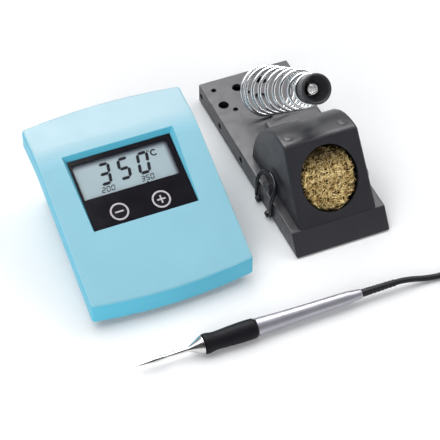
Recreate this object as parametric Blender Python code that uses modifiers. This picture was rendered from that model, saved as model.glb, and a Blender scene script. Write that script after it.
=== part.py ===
"""Soldering iron station: a control unit, a stand with a brass wool cleaner, and a pencil iron on its cord.

Metres, +Z up, everything standing on z = 0. +X runs to the right along the control unit's front edge and
+Y runs to the rear. The origin is under the middle of the three items, without the cord.
"""

import math

import bmesh
import bpy
from mathutils import Matrix, Vector

MM = 0.001
GAP = 0.3 * MM

# Where the three items stand
UNIT_PLACE = Vector((-48.5, -55.65, 0)) * MM
STAND_PLACE = Vector((65.0, -52.85, 0)) * MM
PENCIL_PLACE = Vector((-88.8, -96.95, 6.3)) * MM

# Control unit: a slab-shaped upper housing on a tapered lower housing
UNIT_HALF = 51.5 * MM
UNIT_DEPTH = 116 * MM
UNIT_BOW = 3.6 * MM
SLAB_FRONT_Z = 18.5 * MM
SLAB_SLOPE = 0.4221
SLAB_KNEE_Y = 90 * MM
SLAB_REAR_SLOPE = 0.13
SLAB_DEPTH = 13.6 * MM
SHELL_WALL = 2.4 * MM
TUB_INSET = 3.4 * MM
TUB_FLOOR_Z = 2.0 * MM
TUB_REAR_HALF = 41.5 * MM
TUB_REAR_Y = 111.6 * MM
FOOT_HEIGHT = 1.7 * MM

# Display panel, sunk into the slab: its own plane leans less than the slab does
PANEL_WIDTH = 66 * MM
PANEL_HEIGHT = 48 * MM
PANEL_THICK = 1.6 * MM
PANEL_TILT = math.radians(19)
PANEL_ORIGIN = Vector((0, 41.5, 35.7)) * MM
FACE_MIDDLE = -1.1 * MM
WINDOW_HALF = 30.5 * MM
WINDOW_LOW = 20.7 * MM
WINDOW_HIGH = 45.0 * MM
KEY_OFFSET = 13.4 * MM
KEY_HEIGHT = 7.6 * MM
KEY_RADIUS = 5.9 * MM
BOARD_DEPTH = 8.0 * MM
BOARD_THICK = 1.6 * MM
BOARD_POST_X = 34.2 * MM
BOARD_POST_UP = 24 * MM

# Rear connectors
REAR_CONNECTOR_Z = 22 * MM
INLET_X = -18 * MM
SWITCH_X = 6 * MM
SOCKET_X = 26 * MM

# Stand
STAND_HALF = 31.5 * MM
STAND_LENGTH = 156.2 * MM
STAND_TOP = 14.4 * MM
STAND_LIFT = 0.9 * MM
STAND_WALL = 2.4 * MM
FRONT_LEAN = 0.6546
HOOD_BOTTOM = 14.7 * MM
HOOD_TOP = 58.3 * MM
HOOD_REAR = 82.6 * MM
HOOD_HALF_LOW = 26.2 * MM
HOOD_HALF_HIGH = 24.4 * MM
HOOD_WALL = 2.2 * MM
OPENING_Z = 36.5 * MM
OPENING_HALF_WIDTH = 18.9 * MM
OPENING_HALF_HEIGHT = 21.3 * MM
LARGE_TIP_HOLES = [(x * MM, y * MM) for x, y in ((-24.2, 131.5), (-9.4, 143.6), (7.8, 144.2), (1.2, 130.2))]
SMALL_TIP_HOLES = [(x * MM, y * MM) for x, y in ((-24.6, 147), (-18.6, 124.8), (0.4, 150.4), (-5, 137))]
SIDE_HOLES = [y * MM for y in (87, 120.8, 151.4)]
SIDE_HOLE_Z = 7.6 * MM

# Side clips: bent wire bails, hinged in lugs low on the base's sides
CLIP_WIRE = 1.1 * MM
CLIP_MIDDLE = 48.2 * MM
CLIP_HALF = 10.6 * MM
CLIP_PIVOT_Z = 2.9 * MM
CLIP_CROWN = 27 * MM
CLIP_EYE = 2.1 * MM

# Holder: a wire spiral along a leaning axis, with a funnel at its upper end
HOLDER_RISE = math.radians(40.3)
MOUTH_CENTRE = Vector((0, 46.8, 90.2)) * MM
SPIRAL_WIRE = 1.0 * MM
SPIRAL_TURNS = 7
SPIRAL_START = 15 * MM
SPIRAL_END = 96.5 * MM
SPIRAL_NECK_RADIUS = 8.8 * MM
SPIRAL_SMALL_RADIUS = 10.8 * MM
SPIRAL_LARGE_RADIUS = 15.9 * MM
SPIRAL_STEPS = 18

# Cord
CORD_RADIUS = 1.8 * MM
COIL_CENTRE = Vector((131.5, -126.55, 0)) * MM
COIL_MID_RADIUS = 21.5 * MM
COIL_COLUMNS = 4
COIL_ROWS = 2
COIL_LIFT = 1.2 * MM

BLUE = (0.30, 0.62, 0.72)
BLACK = (0.012, 0.012, 0.014)
CHARCOAL = (0.045, 0.045, 0.052)
RUBBER = (0.02, 0.02, 0.022)
STEEL = (0.62, 0.63, 0.65)
BRASS = (0.78, 0.57, 0.25)
GREEN = (0.03, 0.16, 0.08)
SILVER = (0.55, 0.55, 0.57)


def clear_scene():
    for obj in list(bpy.data.objects):
        bpy.data.objects.remove(obj)


def new_collection(name):
    made = bpy.data.collections.new(name)
    bpy.context.scene.collection.children.link(made)
    return made


clear_scene()
PARTS = new_collection("soldering_iron_station")
CUTTERS = new_collection("cutters")
MATERIALS = {}


def material(name, colour, roughness, metallic=0.0):
    if name not in MATERIALS:
        made = bpy.data.materials.new(name)
        made.use_nodes = True
        shader = made.node_tree.nodes["Principled BSDF"]
        shader.inputs["Base Color"].default_value = (*colour, 1)
        shader.inputs["Roughness"].default_value = roughness
        shader.inputs["Metallic"].default_value = metallic
        MATERIALS[name] = made
    return MATERIALS[name]


def blue_plastic():
    return material("blue_plastic", BLUE, 0.35)


def black_gloss():
    return material("black_gloss", BLACK, 0.12)


def charcoal_plastic():
    return material("charcoal_plastic", CHARCOAL, 0.55)


def black_rubber():
    return material("black_rubber", RUBBER, 0.8)


def bright_steel():
    return material("bright_steel", STEEL, 0.2, 1.0)


def brass_metal():
    return material("brass_metal", BRASS, 0.3, 1.0)


def board_green():
    return material("board_green", GREEN, 0.5)


def satin_silver():
    return material("satin_silver", SILVER, 0.35, 0.6)


def clear_plastic():
    return material("clear_plastic", (0.75, 0.82, 0.84), 0.08)


def lcd_glass():
    return material("lcd_glass", (0.55, 0.62, 0.64), 0.25)


def own_place(place):
    """An empty that carries one free-standing item."""
    empty = bpy.data.objects.new("place", None)
    empty.location = place
    PARTS.objects.link(empty)
    return empty


UNIT = own_place(UNIT_PLACE)
STAND = own_place(STAND_PLACE)
PENCIL = own_place(PENCIL_PLACE)
FLOOR = own_place(Vector((0, 0, 0)))


def link_mesh(name, mesh, look, item):
    """A new object for a mesh. Without a look it is a cutter, drawn as a wire and left out of renders."""
    obj = bpy.data.objects.new(name, mesh)
    obj.parent = item
    if look:
        PARTS.objects.link(obj)
        mesh.materials.append(look)
        mesh.shade_smooth()
        mesh.set_sharp_from_angle(angle=math.radians(35))
    else:
        CUTTERS.objects.link(obj)
        obj.hide_render = True
        obj.display_type = "WIRE"
    return obj


def shape_to_mesh(name, shape):
    mesh = bpy.data.meshes.new(name)
    shape.to_mesh(mesh)
    shape.free()
    return mesh


def towards(axis):
    """The rotation that turns +Z to the axis."""
    return Vector((0, 0, 1)).rotation_difference(Vector(axis)).to_matrix().to_4x4()


def frame_of(origin, across, up):
    """A matrix whose X, Y and Z are across, up and the normal of the two, at the origin."""
    across = Vector(across).normalized()
    up = Vector(up).normalized()
    matrix = Matrix((across, up, across.cross(up))).transposed().to_4x4()
    matrix.translation = origin
    return matrix


def box(name, low, high, look=None, item=None, matrix=None):
    shape = bmesh.new()
    bmesh.ops.create_cube(shape, size=1)
    low = Vector(low)
    high = Vector(high)
    bmesh.ops.scale(shape, vec=high - low, verts=shape.verts)
    bmesh.ops.translate(shape, vec=(low + high) / 2, verts=shape.verts)
    if matrix:
        shape.transform(matrix)
    return link_mesh(name, shape_to_mesh(name, shape), look, item)


def tapered_box(name, low, high, top_low, top_high, look=None, item=None, matrix=None):
    """A box whose upper rectangle has its own X and Y limits."""
    shape = bmesh.new()
    bmesh.ops.create_cube(shape, size=2)
    for vertex in shape.verts:
        from_low, from_high = (top_low, top_high) if vertex.co.z > 0 else (low, high)
        x = from_high[0] if vertex.co.x > 0 else from_low[0]
        y = from_high[1] if vertex.co.y > 0 else from_low[1]
        vertex.co = (x, y, high[2] if vertex.co.z > 0 else low[2])
    if matrix:
        shape.transform(matrix)
    return link_mesh(name, shape_to_mesh(name, shape), look, item)


def cylinder(name, radius, start, end, look=None, item=None, sides=24):
    """A cylinder between two points."""
    start = Vector(start)
    end = Vector(end)
    shape = bmesh.new()
    bmesh.ops.create_cone(
        shape,
        cap_ends=True,
        segments=sides,
        radius1=radius,
        radius2=radius,
        depth=(end - start).length,
    )
    shape.transform(Matrix.Translation((start + end) / 2) @ towards(end - start))
    return link_mesh(name, shape_to_mesh(name, shape), look, item)


def prism(name, outline, low, high, matrix, look=None, item=None):
    """A flat outline, extruded from low to high along the matrix's Z."""
    curve = bpy.data.curves.new(name, "CURVE")
    curve.dimensions = "2D"
    curve.fill_mode = "BOTH"
    curve.extrude = (high - low) / 2
    spline = curve.splines.new("POLY")
    spline.points.add(len(outline) - 1)
    for point, (x, y) in zip(spline.points, outline):
        point.co = (x, y, 0, 1)
    spline.use_cyclic_u = True
    return solid_of_curve(name, curve, matrix @ Matrix.Translation((0, 0, (low + high) / 2)), look, item)


def solid_of_curve(name, curve, matrix, look, item):
    """The mesh of a curve with its caps welded on."""
    guide = bpy.data.objects.new("guide", curve)
    PARTS.objects.link(guide)
    graph = bpy.context.evaluated_depsgraph_get()
    made = bpy.data.meshes.new_from_object(guide.evaluated_get(graph))
    bpy.data.objects.remove(guide)
    shape = bmesh.new()
    shape.from_mesh(made)
    bpy.data.meshes.remove(made)
    bmesh.ops.remove_doubles(shape, verts=shape.verts, dist=0.001 * MM)
    shape.transform(matrix)
    bmesh.ops.recalc_face_normals(shape, faces=shape.faces)
    return link_mesh(name, shape_to_mesh(name, shape), look, item)


def tube(name, points, radius, look, item=None):
    """A round rod along a smooth row of points, with flat ends."""
    curve = bpy.data.curves.new(name, "CURVE")
    curve.dimensions = "3D"
    curve.bevel_depth = radius
    curve.bevel_resolution = 2
    curve.use_fill_caps = True
    spline = curve.splines.new("POLY")
    spline.points.add(len(points) - 1)
    for point, place in zip(spline.points, points):
        point.co = (*place, 1)
    return solid_of_curve(name, curve, Matrix.Identity(4), look, item)


def turned(name, profile, matrix, look=None, item=None, steps=24, closed=False):
    """A profile of (radius, height) from top to bottom, turned round the matrix's Z.

    A closed profile runs down the outside and back up a bore.
    """
    mesh = bpy.data.meshes.new(name)
    count = len(profile)
    edges = [(i, i + 1) for i in range(count - 1)]
    if closed:
        edges.append((count - 1, 0))
    mesh.from_pydata([(radius, 0, height) for radius, height in profile], edges, [])
    obj = link_mesh(name, mesh, look, item)
    obj.matrix_local = matrix
    screw = obj.modifiers.new("turn", "SCREW")
    screw.steps = steps
    screw.render_steps = steps
    screw.use_merge_vertices = True
    screw.merge_threshold = 0.00001
    screw.use_smooth_shade = True
    return obj


def combine(obj, other, operation):
    modifier = obj.modifiers.new(operation.lower(), "BOOLEAN")
    modifier.operation = operation
    modifier.object = other


def cut(obj, *cutters):
    for cutter in cutters:
        combine(obj, cutter, "DIFFERENCE")


def join(obj, *additions):
    for addition in additions:
        combine(obj, addition, "UNION")


def bevel(obj, width):
    """Rounds the edges that turn by more than 40 degrees."""
    modifier = obj.modifiers.new("bevel", "BEVEL")
    modifier.width = width
    modifier.segments = 2
    modifier.limit_method = "ANGLE"
    modifier.angle_limit = math.radians(40)


SIDE_VIEW = frame_of((0, 0, 0), (0, 1, 0), (0, 0, 1))
PLAN_VIEW = Matrix.Identity(4)


# Control unit


def slab_surface(y):
    """Height of the slab's top face at y."""
    knee_z = SLAB_FRONT_Z + SLAB_SLOPE * SLAB_KNEE_Y
    if y <= SLAB_KNEE_Y:
        return SLAB_FRONT_Z + SLAB_SLOPE * y
    return knee_z + SLAB_REAR_SLOPE * (y - SLAB_KNEE_Y)


def slab_line(drop):
    """Side view of the slab's top face, lowered by drop, from front to rear, with the knee rounded."""
    ys = [-10 * MM, SLAB_KNEE_Y - 8 * MM]
    points = [(y, slab_surface(y) - drop) for y in ys]
    for step in range(1, 5):
        share = step / 5
        y = SLAB_KNEE_Y + (16 * share - 8) * MM
        straight = SLAB_SLOPE * (y - SLAB_KNEE_Y)
        bend = (SLAB_SLOPE - SLAB_REAR_SLOPE) * 8 * MM * share**2
        z = SLAB_FRONT_Z + SLAB_SLOPE * SLAB_KNEE_Y + straight - bend
        points.append((y, z - drop))
    for y in (SLAB_KNEE_Y + 8 * MM, UNIT_DEPTH + 12 * MM):
        points.append((y, slab_surface(y) - drop))
    return points


def bowed_plan(inset):
    """The unit's plan: straight sides, and front and rear edges that bow outwards."""
    half = UNIT_HALF - inset
    steps = 6
    points = []
    for step in range(steps + 1):
        share = 2 * step / steps - 1
        points.append((half * share, inset - UNIT_BOW * (1 - share * share)))
    for step in range(steps + 1):
        share = 1 - 2 * step / steps
        points.append((half * share, UNIT_DEPTH - inset + UNIT_BOW * (1 - share * share)))
    return points


def slab_solid(name, inset, drop, bottom, look=None):
    """The slab's side view, cut to its plan. It is bottom deep, or runs past the bench if that is None."""
    upper = slab_line(drop)
    if bottom is None:
        lower = [(upper[-1][0], -1 * MM), (upper[0][0], -1 * MM)]
    else:
        lower = [(y, z - bottom + drop) for y, z in reversed(upper)]
    solid = prism(name, upper + lower, -60 * MM, 60 * MM, SIDE_VIEW, look, UNIT)
    plan = prism(name + "_plan", bowed_plan(inset), -5 * MM, 90 * MM, PLAN_VIEW, item=UNIT)
    combine(solid, plan, "INTERSECT")
    return solid


def panel_frame(depth=0.0):
    """The panel's frame: X across, Y up the panel, Z out of its face, at a depth under the face."""
    up = Vector((0, math.cos(PANEL_TILT), math.sin(PANEL_TILT)))
    matrix = frame_of(PANEL_ORIGIN, (1, 0, 0), up)
    return matrix @ Matrix.Translation((0, 0, -depth))


def panel_point(x, up, out):
    return panel_frame() @ Vector((x, up, out))


SCREW_PLACES = [(x * MM, y * MM) for x, y in ((-38, 15), (38, 15), (-36, 93), (36, 93))]


def upper_housing():
    shell = slab_solid("upper_housing", 0, 0, SLAB_DEPTH, blue_plastic())
    bevel(shell, 1.6 * MM)
    cut(shell, slab_solid("slab_hollow", SHELL_WALL, SHELL_WALL * 1.08, None))
    half = PANEL_WIDTH / 2
    well = box(
        "panel_well",
        (-half - 3 * MM, -3 * MM, -4 * MM),
        (half + 3 * MM, PANEL_HEIGHT + 3 * MM, 5 * MM),
        item=UNIT,
        matrix=panel_frame(),
    )
    inside = slab_solid("inside_trim", 1 * MM, 1 * MM, None)
    combine(well, inside, "INTERSECT")
    posts = []
    for x in (-BOARD_POST_X, BOARD_POST_X):
        ends = [panel_point(x, BOARD_POST_UP, out) for out in (-BOARD_DEPTH + GAP, -3 * MM)]
        posts.append(cylinder("board_post", 2.3 * MM, *ends, item=UNIT, sides=16))
    for x, y in SCREW_PLACES:
        boss = cylinder("boss", 3.6 * MM, (x, y, 8.6 * MM), (x, y, 70 * MM), item=UNIT, sides=16)
        combine(boss, inside, "INTERSECT")
        posts.append(boss)
    join(shell, well, *posts)
    flare = 5.6 * MM
    depth = 8 * MM
    recess = box(
        "panel_recess",
        (-half - GAP, -GAP, -PANEL_THICK - GAP),
        (half + GAP, PANEL_HEIGHT + GAP, 0),
        item=UNIT,
        matrix=panel_frame(),
    )
    lip = tapered_box(
        "recess_lip",
        (-half - GAP, -GAP, -0.4 * MM),
        (half + GAP, PANEL_HEIGHT + GAP, depth),
        (-half - flare, -flare / 2),
        (half + flare, PANEL_HEIGHT + flare),
        item=UNIT,
        matrix=panel_frame(),
    )
    through = box(
        "panel_through",
        (FACE_MIDDLE - WINDOW_HALF - 0.8 * MM, 1.5 * MM, -12 * MM),
        (FACE_MIDDLE + WINDOW_HALF + 0.8 * MM, 46.5 * MM, 1 * MM),
        item=UNIT,
        matrix=panel_frame(),
    )
    cut(shell, recess, lip, through)
    for x, y in SCREW_PLACES:
        top = slab_surface(y) - 5.5 * MM
        cut(shell, cylinder("pilot", 1.5 * MM, (x, y, 0), (x, y, min(top, 19 * MM)), item=UNIT, sides=12))
    for x in (-BOARD_POST_X, BOARD_POST_X):
        ends = [panel_point(x, BOARD_POST_UP, out * MM) for out in (-12, -3)]
        cut(shell, cylinder("board_pilot", 1.1 * MM, *ends, item=UNIT, sides=12))


def tub_block(name, inset, bottom, look=None):
    """The lower housing's tapered form, narrower at its lower rear."""
    front = TUB_INSET + inset - 6 * MM
    return tapered_box(
        name,
        (-UNIT_HALF + TUB_INSET + inset, front, bottom),
        (UNIT_HALF - TUB_INSET - inset, TUB_REAR_Y - inset, 60 * MM),
        (-UNIT_HALF + TUB_INSET - 0.5 * MM + inset, front),
        (UNIT_HALF - TUB_INSET + 0.5 * MM - inset, TUB_REAR_Y - inset),
        look,
        UNIT,
    )


def narrow_rear(obj, inset):
    """Moves a tub block's two lower rear corners inwards."""
    for vertex in obj.data.vertices:
        if vertex.co.y > UNIT_DEPTH / 2 and vertex.co.z < 30 * MM:
            vertex.co.x = math.copysign(TUB_REAR_HALF - inset, vertex.co.x)


def lower_housing():
    tub = tub_block("lower_housing", 0, TUB_FLOOR_Z, blue_plastic())
    narrow_rear(tub, 0)
    combine(tub, slab_solid("tub_trim", TUB_INSET, 7.5 * MM, None), "INTERSECT")
    bevel(tub, 0.8 * MM)
    hollow = tub_block("tub_hollow", SHELL_WALL, TUB_FLOOR_Z + SHELL_WALL)
    narrow_rear(hollow, SHELL_WALL)
    plan = prism(
        "tub_hollow_plan", bowed_plan(TUB_INSET + SHELL_WALL), -5 * MM, 90 * MM, PLAN_VIEW, item=UNIT
    )
    combine(hollow, plan, "INTERSECT")
    cut(tub, hollow)
    floor = TUB_FLOOR_Z + 1 * MM
    for x, y in SCREW_PLACES:
        join(tub, cylinder("screw_tower", 5 * MM, (x, y, floor), (x, y, 8.2 * MM), item=UNIT, sides=16))
    for x in (-30, 30):
        for y in (24, 52):
            place = Vector((x, y, 0)) * MM
            top = place + Vector((0, 0, 8.4 * MM))
            join(tub, cylinder("standoff", 2.5 * MM, place + Vector((0, 0, floor)), top, item=UNIT, sides=12))
    for x, y in SCREW_PLACES:
        cut(tub, cylinder("head_room", 3.1 * MM, (x, y, 0), (x, y, 5.4 * MM), item=UNIT, sides=16))
        cut(tub, cylinder("screw_room", 1.6 * MM, (x, y, 0), (x, y, 10 * MM), item=UNIT, sides=12))
    wall = (TUB_REAR_Y - 4 * MM, TUB_REAR_Y + 4 * MM)
    for x, half_width, half_height in (
        (INLET_X, 13.8 * MM, 10.1 * MM),
        (SWITCH_X, 6.6 * MM, 9.8 * MM),
    ):
        low = (x - half_width, wall[0], REAR_CONNECTOR_Z - half_height)
        high = (x + half_width, wall[1], REAR_CONNECTOR_Z + half_height)
        cut(tub, box("rear_cut", low, high, item=UNIT))
    hole = [(SOCKET_X, y, REAR_CONNECTOR_Z) for y in wall]
    cut(tub, cylinder("socket_cut", 7.8 * MM, *hole, item=UNIT))
    for row in range(4):
        low = (-18 * MM, (26 + row * 7) * MM, 0)
        high = (18 * MM, (28.5 + row * 7) * MM, 6 * MM)
        cut(tub, box("vent_slot", low, high, item=UNIT))


def display_panel():
    half = PANEL_WIDTH / 2
    panel = box(
        "display_panel",
        (-half, 0, -PANEL_THICK),
        (half, PANEL_HEIGHT, 0),
        black_gloss(),
        UNIT,
        panel_frame(),
    )
    window = box(
        "window_cut",
        (FACE_MIDDLE - WINDOW_HALF, WINDOW_LOW, -5 * MM),
        (FACE_MIDDLE + WINDOW_HALF, WINDOW_HIGH, 5 * MM),
        item=UNIT,
        matrix=panel_frame(),
    )
    cut(panel, window)
    for side in (-1, 1):
        ends = [panel_point(key_x(side), KEY_HEIGHT, out * MM) for out in (-5, 5)]
        cut(panel, cylinder("key_cut", KEY_RADIUS + GAP, *ends, item=UNIT))
    box(
        "display_window",
        (FACE_MIDDLE - WINDOW_HALF + GAP, WINDOW_LOW + GAP, -1.2 * MM),
        (FACE_MIDDLE + WINDOW_HALF - GAP, WINDOW_HIGH - GAP, -0.1 * MM),
        clear_plastic(),
        UNIT,
        panel_frame(),
    )
    box(
        "lcd_module",
        (FACE_MIDDLE - WINDOW_HALF - GAP, 19 * MM, -5.2 * MM),
        (FACE_MIDDLE + WINDOW_HALF + GAP, 45.8 * MM, -2.1 * MM),
        lcd_glass(),
        UNIT,
        panel_frame(),
    )


def key_x(side):
    return FACE_MIDDLE + side * KEY_OFFSET


def key(name, side):
    """A round key with a stem behind it. Its origin is on the middle of its face."""
    profile = [(0, 0), (KEY_RADIUS, 0), (KEY_RADIUS, -1.5 * MM), (4.4 * MM, -1.6 * MM)]
    profile += [(4.4 * MM, -2.4 * MM), (1.6 * MM, -2.4 * MM), (1.6 * MM, -3.6 * MM), (0, -3.6 * MM)]
    matrix = panel_frame() @ Matrix.Translation((key_x(side), KEY_HEIGHT, 0))
    turned(name, profile, matrix, black_gloss(), UNIT)


def key_switch(name, side):
    """A small push switch on the display board, under one key."""
    body = box(
        name,
        (key_x(side) - 3 * MM, KEY_HEIGHT - 3 * MM, -BOARD_DEPTH + GAP),
        (key_x(side) + 3 * MM, KEY_HEIGHT + 3 * MM, -5.6 * MM),
        charcoal_plastic(),
        UNIT,
        panel_frame(),
    )
    ends = [panel_point(key_x(side), KEY_HEIGHT, out * MM) for out in (-7, -4.4)]
    join(body, cylinder("switch_stem", 1.5 * MM, *ends, item=UNIT, sides=12))


def display_board():
    board = box(
        "display_board",
        (-37 * MM, 1 * MM, -BOARD_DEPTH - BOARD_THICK),
        (37 * MM, 47 * MM, -BOARD_DEPTH),
        board_green(),
        UNIT,
        panel_frame(),
    )
    for x, name in ((-BOARD_POST_X, "board_screw_left"), (BOARD_POST_X, "board_screw_right")):
        ends = [panel_point(x, BOARD_POST_UP, -BOARD_DEPTH + out * MM) for out in (-4, 4)]
        cut(board, cylinder("board_hole", 1.1 * MM, *ends, item=UNIT, sides=12))
        profile = [(0, 3.6 * MM), (0.8 * MM, 3.6 * MM), (0.8 * MM, -1.9 * MM), (1.9 * MM, -1.9 * MM)]
        profile += [(1.7 * MM, -3.2 * MM), (0, -3.2 * MM)]
        matrix = panel_frame(BOARD_DEPTH) @ Matrix.Translation((x, BOARD_POST_UP, 0))
        turned(name, profile, matrix, bright_steel(), UNIT, steps=12)
    key_switch("minus_switch", -1)
    key_switch("plus_switch", 1)


def main_board():
    low = 8.7 * MM
    top = low + BOARD_THICK
    box("main_board", (-36 * MM, 20 * MM, low), (36 * MM, 58 * MM, top), board_green(), UNIT)
    foot = top + GAP
    cylinder(
        "filter_capacitor",
        5 * MM,
        (-24 * MM, 48 * MM, foot),
        (-24 * MM, 48 * MM, foot + 14 * MM),
        black_gloss(),
        UNIT,
    )
    sink = box("heat_sink", (8 * MM, 40 * MM, foot), (32 * MM, 52 * MM, foot + 12 * MM), bright_steel(), UNIT)
    for row in range(4):
        x = (11 + row * 5.4) * MM
        low = (x, 39 * MM, foot + 3 * MM)
        high = (x + 2.6 * MM, 53 * MM, foot + 13 * MM)
        cut(sink, box("fin_gap", low, high, item=UNIT))
    box("relay", (-10 * MM, 41 * MM, foot), (2 * MM, 51 * MM, foot + 9 * MM), charcoal_plastic(), UNIT)


def transformer():
    """A laminated core round a wound coil."""
    floor = TUB_FLOOR_Z + SHELL_WALL + GAP
    core = box(
        "transformer_core",
        (-27 * MM, 66 * MM, floor + 4 * MM),
        (17 * MM, 84 * MM, floor + 26 * MM),
        charcoal_plastic(),
        UNIT,
    )
    for x in (-19 * MM, 2 * MM):
        low = (x, 60 * MM, floor + 8 * MM)
        high = (x + 7.5 * MM, 90 * MM, floor + 22 * MM)
        cut(core, box("core_window", low, high, item=UNIT))
    for x in (-25 * MM, 9 * MM):
        low = (x, 69 * MM, floor)
        high = (x + 6 * MM, 81 * MM, floor + 5 * MM)
        join(core, box("core_foot", low, high, item=UNIT))
    coil = box(
        "transformer_coil",
        (-18.6 * MM, 61 * MM, floor + 8.4 * MM),
        (8.9 * MM, 89 * MM, floor + 21.6 * MM),
        brass_metal(),
        UNIT,
    )
    low = (-11.8 * MM, 65.7 * MM, floor)
    high = (2.3 * MM, 84.3 * MM, floor + 30 * MM)
    cut(coil, box("coil_hole", low, high, item=UNIT))


def power_inlet():
    back = TUB_REAR_Y
    z = REAR_CONNECTOR_Z
    body = box(
        "power_inlet",
        (INLET_X - 13.5 * MM, back - 18 * MM, z - 9.8 * MM),
        (INLET_X + 13.5 * MM, back + 1 * MM, z + 9.8 * MM),
        charcoal_plastic(),
        UNIT,
    )
    flange = box(
        "inlet_flange",
        (INLET_X - 15.5 * MM, back + GAP, z - 12 * MM),
        (INLET_X + 15.5 * MM, back + 2.4 * MM, z + 12 * MM),
        item=UNIT,
    )
    join(body, flange)
    half = 11.9 * MM
    outline = [(-half, -8 * MM), (half, -8 * MM), (half, 4 * MM), (half - 4 * MM, 8 * MM)]
    outline += [(-half + 4 * MM, 8 * MM), (-half, 4 * MM)]
    rear_view = frame_of((INLET_X, back, z), (-1, 0, 0), (0, 0, 1))
    cut(body, prism("inlet_mouth", outline, -15 * MM, 5 * MM, rear_view, item=UNIT))
    for x, height in ((-7, -1), (0, 3), (7, -1)):
        low = (INLET_X + (x - 1) * MM, back - 16 * MM, z + (height - 2.2) * MM)
        high = (INLET_X + (x + 1) * MM, back - 2 * MM, z + (height + 2.2) * MM)
        join(body, box("inlet_blade", low, high, item=UNIT))


def power_switch():
    back = TUB_REAR_Y
    z = REAR_CONNECTOR_Z
    body = box(
        "power_switch_body",
        (SWITCH_X - 6.3 * MM, back - 13 * MM, z - 9.5 * MM),
        (SWITCH_X + 6.3 * MM, back + 1 * MM, z + 9.5 * MM),
        charcoal_plastic(),
        UNIT,
    )
    flange = box(
        "switch_flange",
        (SWITCH_X - 7.5 * MM, back + GAP, z - 10.7 * MM),
        (SWITCH_X + 7.5 * MM, back + 1.8 * MM, z + 10.7 * MM),
        item=UNIT,
    )
    join(body, flange)
    low = (SWITCH_X - 4.9 * MM, back - 8 * MM, z - 8.7 * MM)
    high = (SWITCH_X + 4.9 * MM, back + 4 * MM, z + 8.7 * MM)
    cut(body, box("rocker_room", low, high, item=UNIT))
    pivot = Vector((SWITCH_X, back - 1.5 * MM, z))
    outline = [(-2.2, -6), (2.2, -6), (7.2, 0.4), (7.2, 4.2), (0, 2.2), (-7.2, 4.2), (-7.2, 0.4)]
    points = [(up * MM, out * MM) for up, out in outline]
    side_on = frame_of((0, 0, 0), (0, 0, -1), (0, 1, 0))
    turn = Matrix.Rotation(math.radians(9), 4, "X")
    rocker = prism(
        "power_rocker", points, -4.5 * MM, 4.5 * MM, turn @ side_on, black_gloss(), UNIT
    )
    rocker.location = pivot


def iron_socket():
    """The round socket that the iron's connector goes into."""
    back = TUB_REAR_Y
    profile = [(0, -9), (5.9, -9), (5.9, 3), (8.6, 3), (9.6, 2.2), (9.6, 0.3), (7.4, 0.3), (7.4, -14)]
    profile += [(0, -14)]
    points = [(radius * MM, height * MM) for radius, height in profile]
    matrix = frame_of((SOCKET_X, back, REAR_CONNECTOR_Z), (-1, 0, 0), (0, 0, 1))
    turned("iron_socket", points, matrix, bright_steel(), UNIT, 32)


def unit_fasteners():
    names = ("front_left", "front_right", "rear_left", "rear_right")
    for (x, y), name in zip(SCREW_PLACES, names):
        top = min(slab_surface(y) - 6.5 * MM, 17 * MM)
        profile = [(0, top), (1.1 * MM, top), (1.1 * MM, 5.0 * MM), (2.7 * MM, 5.0 * MM)]
        profile += [(2.7 * MM, 3.4 * MM), (2.2 * MM, 2.8 * MM), (0, 2.8 * MM)]
        turned(f"housing_screw_{name}", profile, Matrix.Translation((x, y, 0)), bright_steel(), UNIT, 12)
    for (x, y), name in zip([(-36, 28), (36, 28), (-32, 86), (32, 86)], names):
        profile = [(0, FOOT_HEIGHT), (4.5 * MM, FOOT_HEIGHT), (4.1 * MM, 0), (0, 0)]
        place = Matrix.Translation((x * MM, y * MM, 0))
        turned(f"unit_foot_{name}", profile, place, black_rubber(), UNIT, 16)


# Stand


def front_face_frame(height, depth=0.0):
    """A frame on the stand's leaning front face: X across, Y up the slope, Z out of the face."""
    origin = Vector((0, FRONT_LEAN * height, height))
    matrix = frame_of(origin, (1, 0, 0), (0, FRONT_LEAN, 1))
    return matrix @ Matrix.Translation((0, 0, -depth))


def stand_base():
    low = STAND_LIFT
    top = STAND_TOP
    outline = [(FRONT_LEAN * low, low), (STAND_LENGTH, low), (STAND_LENGTH, top), (FRONT_LEAN * top, top)]
    base = prism(
        "stand_base", outline, -STAND_HALF, STAND_HALF, SIDE_VIEW, charcoal_plastic(), STAND
    )
    bevel(base, 0.9 * MM)
    wall = STAND_WALL
    slant = wall * math.hypot(1, FRONT_LEAN)
    inner_top = top - wall
    outline = [(slant + FRONT_LEAN * -1 * MM, -1 * MM), (STAND_LENGTH - wall, -1 * MM)]
    outline += [(STAND_LENGTH - wall, inner_top), (slant + FRONT_LEAN * inner_top, inner_top)]
    cut(base, prism("base_hollow", outline, -STAND_HALF + wall, STAND_HALF - wall, SIDE_VIEW, item=STAND))
    for side in (-1, 1):
        join(base, keeper(side))
        for end in (-1, 1):
            clip_lug(base, side, end)
    for x, y in LARGE_TIP_HOLES:
        cut(base, tip_hole(x, y, 3.5 * MM))
    for x, y in SMALL_TIP_HOLES:
        cut(base, tip_hole(x, y, 1.8 * MM))
    for side in (-1, 1):
        for y in SIDE_HOLES:
            ends = [(side * (STAND_HALF + out * MM), y, SIDE_HOLE_Z) for out in (-5, 5)]
            cut(base, cylinder("side_hole", 2.2 * MM, *ends, item=STAND, sides=16))
    low_end, high_end = Vector((0, 0, -3 * MM)), Vector((0, 0, 5 * MM))
    foot = spiral_foot()
    cut(base, cylinder("leg_hole", SPIRAL_WIRE + GAP, foot + low_end, foot + high_end, item=STAND, sides=12))


def tip_hole(x, y, radius):
    return cylinder("tip_hole", radius, (x, y, 8 * MM), (x, y, 20 * MM), item=STAND, sides=16)


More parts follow.
